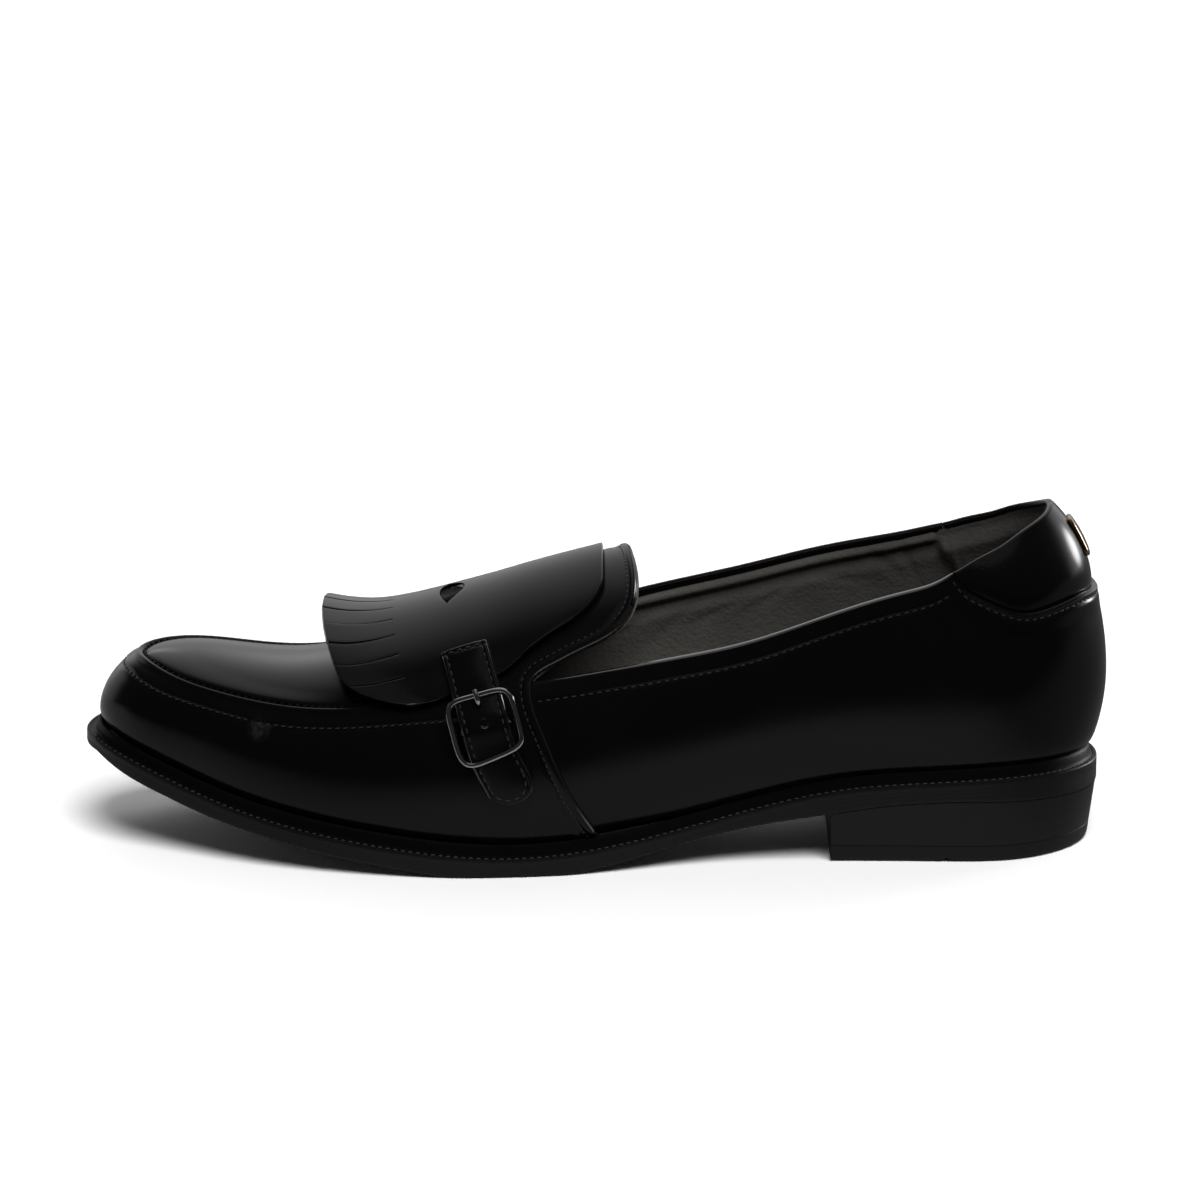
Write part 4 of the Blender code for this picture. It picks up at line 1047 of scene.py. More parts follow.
def build_vamp():
    """Vamp leather with the apron's seams in it, painted darker and less glossy where the kiltie lies over
    it: painted shade.
    """
    d, q, lift, marks, sewn = vamp_grid()
    part = grid_part(lifted(d, q, lift), skin_normal(d, q))
    # Faces under the kiltie take the darker, less glossy leather: painted shade.
    hidden = (d > SHADE_PATCH_D[0]) & (d < SHADE_PATCH_D[1]) & (np.abs(q) < SHADE_PATCH_Q)
    shade_faces = hidden.ravel()[quads(*hidden.shape)].all(axis=1)
    make_piece("vamp_leather", [part], VAMP_LEATHER, stands_for="upper", second=(SHADE_PATCH_LEATHER, shade_faces))
    seams = (("apron_outer_stitches", marks[1], OUTER_STITCH, WAXED_THREAD),
             ("apron_inner_stitches", marks[2], INNER_STITCH, BLACK_THREAD))
    for name, line, (long, thick, rise), thread in seams:
        sd, sq = from_flat(line[sewn])
        points = lifted(sd, sq, BAND_STEP / 2 + rise - vamp_dip(sd, sq))
        stitches = stitch_part(points, skin_normal(sd, sq), APRON_PITCH, long, thick, slant=APRON_SLANT)
        make_piece(name, [stitches], thread, closed=True)


# Stitches here and below: pitch, length and thickness.
FOLD_STITCH_SIZE = (1.8, 1.3, 0.36)
FOLD_STITCH_SINK = 0.02
FOLD_STITCH = 2.5
FOLD_SPACING = 0.5
FOLD_SPLIT = 9
THROAT_Q = -0.31
# Section of the folded edge: distance inside the edge and height over the vamp.
FOLD_PROFILE = np.array((
    (3.3, 0.02),
    (2.9, 0.05),
    (2.65, -0.10),
    (2.4, -0.08),
    (2.1, 0.22),
    (1.7, 0.36),
    (1.3, 0.40),
    (0.9, 0.36),
    (0.55, 0.25),
    (0.25, 0.05),
    (0.08, -0.18),
    (0.0, -0.50),
    (0.08, -0.85),
    (0.35, -1.20),
    (0.9, -1.45),
    (2.2, -2.40),
))


def build_folded_edge():
    """Folded edge of the vamp: a bead swept along its free edge, with a stitched valley on its inner
    side. Gives its stitches."""
    line = rear_path()
    position, _ = even_columns(line, as_marks, FOLD_SPACING)
    place = at_rows(line, position)
    rows, outs = [], []
    for across, lift in FOLD_PROFILE:
        d, q = beside(place[:, 0], place[:, 1], across)
        rows.append(lifted(d, q, np.full(len(d), VAMP_STEP + lift)))
        outs.append(skin_normal(d, q))
    rows, outs = np.array(rows), np.array(outs)
    face = grid_part(rows[:FOLD_SPLIT], outs[:FOLD_SPLIT])
    throat = int(np.argmax(place[:, 1] > THROAT_Q))
    rows, outs = rows[FOLD_SPLIT - 1:], outs[FOLD_SPLIT - 1:]
    tongue = grid_part(rows[:, throat:], outs[:, throat:])
    edge = grid_part(rows[:, :throat + 1], outs[:, :throat + 1])
    make_piece("vamp_folded_edge", [face, tongue], BLACK_LEATHER)
    make_piece("vamp_rolled_edge", [edge], EDGE_LEATHER)
    d, q = beside(place[:, 0], place[:, 1], FOLD_STITCH)
    points = lifted(d, q, np.full(len(d), VAMP_STEP - FOLD_STITCH_SINK))
    return stitch_part(points, skin_normal(d, q), *FOLD_STITCH_SIZE)


# Quarters, heel tab and lining

# Rows of the quarters and the tab at distances from their lines.
QUARTER_FOOT_ROWS = (0, 0.7, 1.6, 3.0)
QUARTER_TOP_ROWS = (9, 7.6, 6.8, 6.3, 6.0, 5.8, 5.6, 5.3, 4.8, 4.0, 3.2, 2.7, 2.3, 2.0, 1.7, 1.3)
TAB_FOOT_ROWS = (0, 0.4, 0.9, 1.5, 2.2, 3.0, 4.0)
TAB_TOP_ROWS = (2.4, 1.6)
TAB_BACK_ROWS = (3.2,)
QUARTER_SPACING = 0.5
QUARTER_STEP = -0.6
QUARTER_FADE = 26.0
RIM_ROUND = 0.95
COLLAR_STITCH = 5.8
COLLAR_STITCH_SIZE = (2.15, 1.5, 0.40)
COLLAR_STITCH_RISE = -0.10
COLLAR_STITCH_D = (41.5, 150.0)
STEP_D = (120.0, 150.0)
TAB_STITCH = 2.0
TAB_STITCH_SIZE = (2.1, 1.5, 0.40)
TAB_STITCH_RISE = 0.22
SEAM_VALLEY = 0.22
SEAM_VALLEY_WIDE = 0.42
SEAM_PUFF = 0.22
SEAM_RAMP = 1.2
QUARTER_SWELL = 0.35
QUARTER_SWELL_FROM = 7.0
QUARTER_SWELL_RAMP = 5.0
TAB_SPACING = 0.6
TAB_SINK = 1.0
TAB_SINK_REACH = 2.4
TAB_SINK_FULL = 8.0
TAB_PUFF = 0.8
TAB_PUFF_FULL = 14.0
RIM_ROWS = (0.95, 0.80, 0.62, 0.45, 0.28, 0.14, 0.05, 0.0)
RETURN_ROWS = (0.05, 0.14, 0.28, 0.45, 0.70, 0.95, 1.6, 2.9)


def rim_lift(inside, back):
    """Height of a rolled rim at a distance inside its edge: half round over the top and back
    underneath."""
    reach = np.clip(RIM_ROUND - inside, 0, RIM_ROUND)
    high = np.sqrt(np.clip(RIM_ROUND ** 2 - reach ** 2, 0, None))
    return -RIM_ROUND - high if back else -RIM_ROUND + high


def quarter_lines(side):
    """Dense marks of one quarter from the heel back to the throat: foot, mid wall, top line and a tab
    mask."""
    low = between(QUARTER[:TAB_TIP + 1], np.linspace(0, TAB_TIP, 801))
    high = between(QUARTER[TAB_TIP:], np.linspace(0, len(QUARTER) - 1 - TAB_TIP, 1601))[1:]
    table = np.concatenate((low, high))
    top_q = table[:, 5] if side > 0 else table[:, 4]
    tab = np.concatenate((np.ones(len(low)), np.zeros(len(high))))
    foot_line = np.stack((table[:, 0], np.full(len(table), side)), -1)
    mid_line = np.stack((table[:, 1], side * table[:, 2]), -1)
    return foot_line, mid_line, np.stack((table[:, 3], side * top_q), -1), tab


def quarter_half(side):
    """Grid of one quarter with its rolled top edge: d, q, lift, its columns' marks and its tab mask."""
    foot_line, mid_line, top_line, tab = quarter_lines(side)
    position, _ = even_columns(top_line, as_marks, QUARTER_SPACING)
    marks = [at_rows(line, position) for line in (foot_line, mid_line, top_line)]
    tab = np.interp(position, np.arange(len(tab)), tab)[None, :]
    low = strip(marks[0], marks[1], QUARTER_FOOT_ROWS, (), 12, as_marks)
    high = strip(marks[1], marks[2], (0,), QUARTER_TOP_ROWS + RIM_ROWS, 7, as_marks)
    back = strip(marks[1], marks[2], (), RETURN_ROWS[::-1], 0, as_marks)
    back = [np.flip(rows, axis=0) for rows in back]
    d = np.concatenate((low[0], high[0], back[0]))
    q = np.concatenate((low[1], high[1], back[1]))
    to_top = np.concatenate((np.full_like(low[3], FAR), high[3], back[3]))
    under = np.concatenate((np.zeros(len(low[0]) + len(high[0])), np.ones(len(back[0]))))[:, None]
    rim = np.where(under > 0, rim_lift(to_top, True), rim_lift(to_top, False))
    to_throat = np.abs(marks[0][:, 0] - REAR_EDGE[0, 0])[None, :]
    lift = rim + QUARTER_STEP * (1 - ease(to_throat / QUARTER_FADE))
    seam = COLLAR_STITCH + (TAB_STITCH - COLLAR_STITCH) * tab
    valley = SEAM_VALLEY * bump(to_top - seam, SEAM_VALLEY_WIDE)
    puff = SEAM_PUFF * ease(to_top / SEAM_RAMP) * ease((seam - to_top) / SEAM_RAMP)
    swell = QUARTER_SWELL * tab * ease((QUARTER_SWELL_FROM - to_top) / QUARTER_SWELL_RAMP)
    return d, q, lift + (puff + swell - valley) * (1 - under), marks, tab[0]


def line_from_top(marks, distance):
    """Line at a distance below the top line, along the columns."""
    t = np.linspace(0, 1, 17)[:, None, None]
    path = skin(*as_marks(marks[1] + (marks[2] - marks[1]) * t))
    long = np.linalg.norm(np.diff(path, axis=0), axis=2).sum(axis=0)
    share = 1 - distance / long
    return as_marks(marks[1] + (marks[2] - marks[1]) * share[:, None])


def build_quarters():
    """Both quarters as one wall round the heel. The outer collar's rim is burnished. Gives the lines of
    stitches along their tops."""
    halves, outs, tabs, stitches = [], [], [], []
    for side in (-1.0, 1.0):
        d, q, lift, marks, tab = quarter_half(side)
        tabs.append(tab[None, :])
        halves.append(lifted(d, q, lift))
        outs.append(skin_normal(d, q))
        heel = tab > 0.5
        sd, sq = line_from_top(marks, np.where(heel, TAB_STITCH, COLLAR_STITCH))
        rise = np.interp(sd, STEP_D, (0.0, QUARTER_STEP))
        rise = rise + np.where(heel, TAB_STITCH_RISE, COLLAR_STITCH_RISE)
        points, normals = lifted(sd, sq, rise), skin_normal(sd, sq)
        collar = ~heel & (sd > COLLAR_STITCH_D[0]) & (sd < COLLAR_STITCH_D[1])
        stitches.append(stitch_part(points[heel], normals[heel], *TAB_STITCH_SIZE))
        stitches.append(stitch_part(points[collar], normals[collar], *COLLAR_STITCH_SIZE))
    points, out = joined(halves), joined(outs)
    rim = len(points) - len(RIM_ROWS) - len(RETURN_ROWS)
    top = rim + len(RIM_ROWS)
    first = np.flatnonzero(joined(tabs)[0] > 0.5)[0]
    wall, inner, back, edge = ((slice(None, rim + 1), slice(None)), (slice(rim, None), slice(first, None)),
                               (slice(top, None), slice(None, first + 1)),
                               (slice(rim, top + 1), slice(None, first + 1)))
    walls = [grid_part(points[area], out[area]) for area in (wall, inner, back)]
    make_piece("quarter_leather", walls, BLACK_LEATHER)
    make_piece("collar_rim", [grid_part(points[edge], out[edge])], EDGE_LEATHER)
    return stitches


def tab_lines(side):
    """Dense marks of the heel tab's seam and of the collar edge over it, from the heel back to the tip."""
    at = np.linspace(0, TAB_TIP, 801)
    seam = between(QUARTER[:TAB_TIP + 1], at)
    edge = between(TAB_EDGE, at)
    seam_q = seam[:, 5] if side > 0 else seam[:, 4]
    edge_q = edge[:, 2] if side > 0 else edge[:, 1]
    return np.stack((seam[:, 3], side * seam_q), -1), np.stack((edge[:, 0], side * edge_q), -1)


def build_heel_tab():
    """Padded tab at the back of the collar: sinks under the quarter at its seam, swells above it and
    rolls over the edge."""
    halves, outs = [], []
    for side in (-1.0, 1.0):
        seam_line, edge_line = tab_lines(side)
        position, _ = even_columns(edge_line, as_marks, TAB_SPACING)
        seam, edge = at_rows(seam_line, position), at_rows(edge_line, position)
        rows = strip(seam, edge, TAB_FOOT_ROWS, TAB_TOP_ROWS + RIM_ROWS, 14, as_marks)
        back = strip(seam, edge, (), TAB_BACK_ROWS + RETURN_ROWS[::-1], 0, as_marks)
        back = [np.flip(grid, axis=0) for grid in back]
        d = np.concatenate((rows[0], back[0]))
        q = np.concatenate((rows[1], back[1]))
        to_top = np.concatenate((rows[3], back[3]))
        from_seam = np.concatenate((rows[2], back[2]))
        under = np.concatenate((np.zeros(len(rows[0])), np.ones(len(back[0]))))[:, None]
        high = (rows[2] + rows[3])[:1]
        share = np.clip(from_seam / np.maximum(high, 1e-6), 0, 1)
        puff = TAB_PUFF * np.sin(share * math.pi) * ease(high / TAB_PUFF_FULL)
        lift = np.where(under > 0, rim_lift(to_top, True), rim_lift(to_top, False))
        sink = TAB_SINK * np.exp(-from_seam / TAB_SINK_REACH) * ease(high / TAB_SINK_FULL)
        lift = lift + (puff - sink) * (1 - under)
        halves.append(lifted(d, q, lift))
        outs.append(skin_normal(d, q))
    tab = make_piece("heel_tab", [grid_part(joined(halves), joined(outs))], BLACK_LEATHER)


LINING_IN = 2.1
LINING_SPACING = 0.8
LINING_ROWS = tuple(np.linspace(0, 14, 29))
LINING_FOOT_Q = 0.995
LINING_FOOT_D = (0.97, 0.15)
LINING_LIP = 0.35
LINING_LIP_RAMP = (-0.6, 0.8)
LINING_TUCK = 0.5
# Depth below the collar where the roll starts, and where the crease under it lies, by d.
ROLL_START = ((5.0, 30.0, 60.0, 150.0), (1.7, 1.7, 2.2, 2.6))
ROLL_END = ((40.0, 60.0, 110.0, 150.0), (4.6, 5.0, 5.5, 5.8))
ROLL_HIGH = 1.0
ROLL_POWER = 0.8
LINING_FULL = 1.1
LINING_FULL_RAMP = 5.0
PAD_FRONT = 48.0
PAD_LEAN = 0.5
PAD_LEAN_FROM = 2.0
PAD_FRONT_RAMP = 3.5
PAD_HIGH = 2.7
PAD_RAMP = 6.0
PAD_FOLD = 0.34
PAD_FOLD_AT = 2.0
PAD_FOLD_WIDE = 3.2
PAD_FOLD_WAVES = 2.3
PAD_FOLD_LEAN = 0.35
OUTER_CREASES = 0.6
VAMP_LINING_IN = 1.5
VAMP_LINING_SPACING = 2.0


def collar_line(side):
    """Dense marks of the whole collar edge of one side, from the heel back to the throat."""
    _, edge = tab_lines(side)
    _, _, top, tab = quarter_lines(side)
    return np.concatenate((edge, top[tab < 0.5]))


def build_lining():
    """Quarter lining inside the wall: a soft roll under the rim, a crease, then a full wall down to the
    insole, with a padded section round the heel."""
    halves, outs = [], []
    for side in (-1.0, 1.0):
        line = collar_line(side)
        position, run = even_columns(line, as_marks, LINING_SPACING)
        top = at_rows(line, position)
        foot_d = top[:, 0] * LINING_FOOT_D[0] + LINING_FOOT_D[1]
        low = np.stack((foot_d, np.full(len(top), side * LINING_FOOT_Q)), -1)
        depth = np.interp(top[:, 0], *ROLL_START)
        d, q, down, _ = strip(top, low, LINING_ROWS, (0,), 16, as_marks)
        crease = np.interp(d, *ROLL_END)
        roll = np.clip((down - depth) / (crease - depth), 0, 1)
        roll = ROLL_HIGH * np.sin(roll * math.pi) ** ROLL_POWER
        full = LINING_FULL * rising(down, crease, LINING_FULL_RAMP)
        front = PAD_FRONT - PAD_LEAN * np.maximum(down - PAD_LEAN_FROM, 0)
        in_pad = ease((front - d) / PAD_FRONT_RAMP)
        waves = np.cos(run[None, :] * PAD_FOLD_WAVES + PAD_FOLD_LEAN * down)
        folds = PAD_FOLD * waves * bump(d - front + PAD_FOLD_AT, PAD_FOLD_WIDE)
        pad = PAD_HIGH * rising(down, depth, PAD_RAMP)
        start = LINING_IN - LINING_LIP + LINING_LIP * rising(down - depth, *LINING_LIP_RAMP)
        inward = start + (roll + full) * (1 - in_pad) + (pad + folds) * in_pad
        inward = inward + lining_creases(d, down, side)
        inward = np.where(down < depth / 2, LINING_IN - LINING_TUCK, inward)
        halves.append(lifted(d, q, -inward))
        outs.append(-skin_normal(d, q))
    lining = make_piece("quarter_lining", [grid_part(joined(halves), joined(outs))], LINING)


# Creases of the inner lining: place along and below the collar, slant, length, width and depth.
# Columns: d, down, slant, long, wide, deep.
LINING_CREASES = np.array((
    (128.0, 12.0, 0.5, 9.0, 1.6, 0.30),
    (118.0, 16.0, 0.7, 12.0, 1.8, 0.28),
    (104.0, 12.5, 0.3, 10.0, 1.5, 0.22),
    (88.0, 11.0, 0.4, 8.0, 1.4, 0.20),
    (70.0, 10.0, -0.3, 8.0, 1.4, 0.22),
    (58.0, 8.0, -0.8, 7.0, 1.3, 0.35),
    (52.0, 9.0, -1.2, 6.0, 1.2, 0.45),
))


def lining_creases(d, down, side):
    """Soft folds at listed places: bells across a slanted line, faded at its ends."""
    total = np.zeros_like(d)
    for at, depth, slant, long, wide, deep in LINING_CREASES:
        along, across = d - at, down - depth
        c, s = math.cos(slant), math.sin(slant)
        total = total - deep * bump(c * across - s * along, wide) * bump(c * along + s * across, long)
    return total if side > 0 else OUTER_CREASES * total


def build_vamp_lining():
    """Lining under the vamp and tongue, a plain sheet inside the wall."""
    lines = vamp_lines()
    position, _ = even_columns(lines[1], from_flat, VAMP_LINING_SPACING)
    marks = [at_rows(line, position) for line in lines]
    rows = [strip(marks[k + 1], marks[k], (0,), (), 14, from_flat) for k in (2, 1, 0)]
    rows.append([grid[None] for grid in from_flat(marks[0])])
    d = np.concatenate([r[0] for r in rows])
    q = np.concatenate([r[1] for r in rows])
    points = lifted(d, q, -VAMP_LINING_IN - vamp_dip(d, q))
    make_piece("vamp_lining", [grid_part(points, -skin_normal(d, q))], LINING)


# Sole, welt and heel

SECTION_POINTS = 9
GROOVE_WIDE = 0.035


def sole_edge(u):
    """Distance of the sole edge outside the foot line."""
    return steady(SOLE[:, 0], SOLE[:, 1], forward(u))


def under(u):
    """Height of the outsole's underside."""
    return steady(SOLE[:, 0], SOLE[:, 2], forward(u))


def outline(side, u, offset):
    """Plan places at an offset outside the foot line, and the section number of each."""
    x, y, _ = foot(np.full_like(u, side), u)
    nx, ny = outline_normal(np.full_like(u, side), u)
    x, y = x + nx * offset, y + ny * offset
    return x, y, station(HALF_LENGTH - x)


def section_loft(u, profile):
    """Closed solid from sections: down the outer profile, across the underside, up the inner one and back
    over the top. The profile is a list of offsets and height functions from the top edge to the bottom
    edge."""
    sides = []
    for side in (-1.0, 1.0):
        rings = []
        for offset, height in profile:
            x, y, v = outline(side, u, offset)
            rings.append(np.stack((x, y, height(v)), -1))
        sides.append(np.array(rings))
    t = np.linspace(0, 1, SECTION_POINTS + 2)[1:-1, None, None]
    bottom = sides[0][-1] * (1 - t) + sides[1][-1] * t
    top = sides[1][0] * (1 - t) + sides[0][0] * t
    loop = np.concatenate((sides[0], bottom, sides[1][::-1], top))
    return grid_part(loop.transpose(1, 0, 2), wrap=True), loop


def front_cap(loop, rows):
    """Quads that close the front section of a loft, whose profile has so many rows."""
    section = loop[:, -1]
    outer = section[:rows]
    inner = section[rows + SECTION_POINTS:2 * rows + SECTION_POINTS][::-1]
    t = np.linspace(0, 1, SECTION_POINTS + 2)[None, :, None]
    return grid_part(outer[:, None] * (1 - t) + inner[:, None] * t)


def mixed(low, high, share):
    """Height a share of the way from one height function to another."""
    return lambda u: low(u) * (1 - share) + high(u) * share


def grooved_side(edge, low, high, grooves, deep, rows=25, taper=0.0):
    """Side of a layered edge: offsets and heights from top to bottom, drawn in by the taper, with shallow
    grooves at given shares."""
    profile = []
    for share in np.linspace(1, 0, rows):
        cut = taper * (1 - share) + sum(deep * float(bump(share - g, GROOVE_WIDE)) for g in grooves)
        profile.append((edge - cut, mixed(low, high, float(share))))
    return profile


def level(height):
    """Height function that is the same everywhere."""
    return lambda u: np.full_like(u, height)


OUTSOLE_TOP = -4.2
SOLE_ROUND = 0.7
SOLE_LEDGE = 1.2
SOLE_GROOVES = (0.34, 0.70)
SOLE_GROOVE_DEEP = 0.025
SOLE_TURNS = (0.25, 0.5, 0.75, 1.0)


def build_sole():
    """Outsole sheet with two fine lines round its edge and a rounded bottom edge."""
    u = np.linspace(-1, 1, 301)
    edge = sole_edge(u)
    high = lambda v: last("foot_z", v) + OUTSOLE_TOP
    low = lambda v: under(v) + SOLE_ROUND
    profile = [(edge - SOLE_LEDGE, high)] + grooved_side(edge, low, high, SOLE_GROOVES, SOLE_GROOVE_DEEP)
    for turn in SOLE_TURNS:
        angle = turn * math.pi / 2
        profile.append((edge - SOLE_ROUND * (1 - math.cos(angle)), mixed(low, under, math.sin(angle))))
    part, _ = section_loft(u, profile)
    make_piece("outsole_sheet", [part], SOLE_RUBBER, stands_for="outsole", closed=True, sharp=40)


HEEL_IN = 0.25
HEEL_GAP = 0.02
HEEL_TAPER = 1.4
HEEL_GROOVES = (0.0, 0.30, 0.63, 1.0)
HEEL_GROOVE_DEEP = 0.03
NICK_D = 44.0
NICK_DEEP = 1.1
NICK_LONG = 0.9
TOP_PIECE_IN = 0.3
# Side of the top piece from its top to the floor: distance drawn in, height and share of the nick.
TOP_PIECE_SIDE = (
    (0.15, TOP_PIECE - 0.03, 0),
    (0.0, TOP_PIECE - 0.2, 0),
    (0.1, 3.2, 0),
    (0.25, 2.0, 0),
    (0.35, 1.3, 0),
    (0.6, 0.6, 1),
    (1.0, 0.2, 1),
    (1.5, 0.0, 1),
)


def build_heel():
    """Stacked heel with the lines of its lifts, and the top piece with a small nick in its outer bottom
    edge."""
    u = np.linspace(-1, float(station(BREAST)), 161)
    edge = sole_edge(u)
    stack = grooved_side(edge - HEEL_IN, level(TOP_PIECE), lambda v: under(v) - HEEL_GAP, HEEL_GROOVES,
                         HEEL_GROOVE_DEEP, rows=31, taper=HEEL_TAPER)
    part, loop = section_loft(u, stack)
    make_piece("heel_lifts", [part, front_cap(loop, len(stack))], HEEL_FINISH,
               stands_for="heel_stack", closed=True, sharp=40)
    nick = NICK_DEEP * bump(forward(u) - NICK_D, NICK_LONG)
    drawn = edge - TOP_PIECE_IN - HEEL_TAPER
    wearing = [(drawn - inset - share * nick, level(height)) for inset, height, share in TOP_PIECE_SIDE]
    part, loop = section_loft(u, wearing)
    make_piece("heel_top_piece", [part, front_cap(loop, len(wearing))], SOLE_RUBBER,
               stands_for="top_piece", closed=True, sharp=40)


WELT_LIP = 1.0
WELT_LEDGE = 1.25
WELT_INSIDE = -1.0
# Welt's section: base line (0 sole edge, 1 lip, 2 inside), distance beyond it, height over the
# foot line and share of the ribs.
WELT_PROFILE = (
    (2, 0.0, -4.15, 0.0),
    (0, -0.03, -4.18, 0.0),
    (0, 0.0, -3.90, 0.0),
    (0, 0.0, -3.10, 0.0),
    (0, -0.05, -2.62, 0.0),
    (0, -0.20, -2.40, 0.2),
    (0, -0.45, -2.33, 0.2),
    (0, -0.80, -2.38, 0.0),
    (0, -1.15, -2.45, 0.0),
    (1, 0.0, -2.50, 0.2),
    (1, -0.28, -2.20, 0.6),
    (1, -0.45, -1.50, 1.0),
    (1, -0.62, -0.80, 1.0),
    (1, -0.82, -0.10, 1.0),
    (1, -1.05, 0.45, 0.8),
    (1, -1.40, 0.62, 0.5),
    (1, -1.80, 0.40, 0.2),
    (1, -2.20, -0.60, 0.0),
)
WELT_LIP_ROW = 5
RIB_PITCH = 1.25
RIB_HIGH = 0.13
WELT_SPACING = 0.32
WELT_STITCH = 0.80
WELT_STITCH_UP = -2.26
WELT_STITCH_SIZE = (1.95, 1.35, 0.30)


def welt_columns():
    """Section numbers evenly spaced by length round the foot line: the outer side to the toe, then the
    inner back."""
    sides = []
    for side in (-1.0, 1.0):
        u = np.linspace(-1, 1, 4001)
        x, y, _ = outline(side, u, sole_edge(u))
        run = lengths(np.stack((x, y), -1))
        want = np.linspace(0, run[-1], int(run[-1] / WELT_SPACING))
        sides.append(np.interp(want, run, u))
    return sides


def build_welt():
    """Storm welt: an outer edge, a stitched ledge and a ribbed lip that slopes up to the upper."""
    sides = welt_columns()
    rows = []
    for base, beyond, rise, rib in WELT_PROFILE:
        ring = []
        for side, u in zip((-1.0, 1.0), sides):
            from_edge = sole_edge(u)
            lip = np.minimum(WELT_LIP, from_edge - WELT_LEDGE)
            offset = (from_edge, lip, np.full_like(u, WELT_INSIDE))[base] + beyond
            x, y, v = outline(side, u, offset)
            wave = np.abs(np.sin(math.pi * np.arange(len(u)) * WELT_SPACING / RIB_PITCH)) - 0.5
            ring.append(np.stack((x, y, last("foot_z", v) + rise + RIB_HIGH * rib * wave), -1))
        rows.append(np.concatenate((ring[0], ring[1][::-1][1:-1])))
    rows = np.array(rows + rows[:1])
    # From the ledge top up, the welt takes the darker finish: painted shade of the groove.
    lip = np.repeat([r >= WELT_LIP_ROW for r in range(len(rows) - 1)], rows.shape[1])
    make_piece("welt_ring", [grid_part(rows, wrap=True)], WELT_FINISH, stands_for="welt", closed=True,
               sharp=50, second=(LIP_SHADE_FINISH, lip))
    line = []
    for side, u in zip((-1.0, 1.0), sides):
        x, y, v = outline(side, u, sole_edge(u) - WELT_STITCH)
        line.append(np.stack((x, y, last("foot_z", v) + WELT_STITCH_UP), -1))
    line = np.concatenate((line[0], line[1][::-1][1:]))
    stitches = stitch_part(line, np.tile(UP, (len(line), 1)), *WELT_STITCH_SIZE)
    make_piece("welt_stitches", [stitches], WELT_THREAD, closed=True)


INSOLE_IN = -3.2
INSOLE_TOP = -1.5
INSOLE_TURN_UP = 1.2


def build_insole():
    """Insole sock: a sheet dished a little in the middle, turned up at its edge."""
    u = np.linspace(-1, 1, 221)
    outer = np.stack(outline(-1.0, u, np.full_like(u, INSOLE_IN))[:2], -1)
    inner = np.stack(outline(1.0, u, np.full_like(u, INSOLE_IN))[:2], -1)
    t = np.linspace(0, 1, 25)
    plan = outer[:, None] * (1 - t)[None, :, None] + inner[:, None] * t[None, :, None]
    height = last("foot_z", station(HALF_LENGTH - plan[..., 0])) + INSOLE_TOP
    height = height + INSOLE_TURN_UP * np.abs(2 * t - 1)[None, :] ** 6
    top = np.concatenate((plan, height[..., None]), -1)
    part = grid_part(top, np.broadcast_to(UP, top.shape))
    make_piece("insole_sock", [part], SOCK, stands_for="insole")


# Kiltie, strap, buckle and plate

KILTIE_REAR_FADE = 0.35
KILTIE_FAN_FROM = 0.55
KILTIE_ARCH_POWER = 1.6
CORNER_POWER = 1.3
SLOT_POWER = 1.3
KILTIE_ROUND = 0.22
STRIP_POINTS = 9
STRIP_ROWS = 21
STRIP_WAVE = 0.22
STRIP_PHASE = (2.4, 0.7)
STRIP_CURL = 0.10


def round_corner(across, start, turn):
    """Setback of a rounded corner: the given part of a quarter circle from start out to the side, scaled
    to 1."""
    t = turn * np.clip((across - start) / (1 - start), 0, 1)
    return (1 - np.sqrt(1 - t ** 2)) / (1 - math.sqrt(1 - turn ** 2))


def kiltie_place(k, w):
    """Skin place and lift of the kiltie at share k from rear to front and w across. Its corners are
    rounded and its fringe fans out towards the front."""
    d = spline(np.linspace(0, 1, len(KILTIE)), KILTIE[:, 0], k)
    lift, side_lift, span = (steady(KILTIE[:, 0], KILTIE[:, c], d) for c in (1, 2, 3))
    across = np.abs(w)
    front = np.clip((d - KILTIE_FRONT_D) / (KILTIE[-1, 0] - KILTIE_FRONT_D), 0, 1)
    rear = KILTIE_REAR_ROUND * round_corner(across, KILTIE_REAR_FROM, KILTIE_REAR_TURN)
    edge = d + (1 - ease(k / KILTIE_REAR_FADE)) * rear
    lobe = KILTIE_LOBE * round_corner(across, KILTIE_LOBE_FROM, KILTIE_LOBE_TURN)
    edge = edge - front * (KILTIE_FRONT_ROUND * across ** 2 + lobe)
    fan = KILTIE_FAN * np.sin(math.pi * across) * ease((k - KILTIE_FAN_FROM) / (1 - KILTIE_FAN_FROM))
    up = side_lift + (lift - side_lift) * (1 - across ** KILTIE_ARCH_POWER)
    return edge, np.sign(w) * (across + fan) * span, up


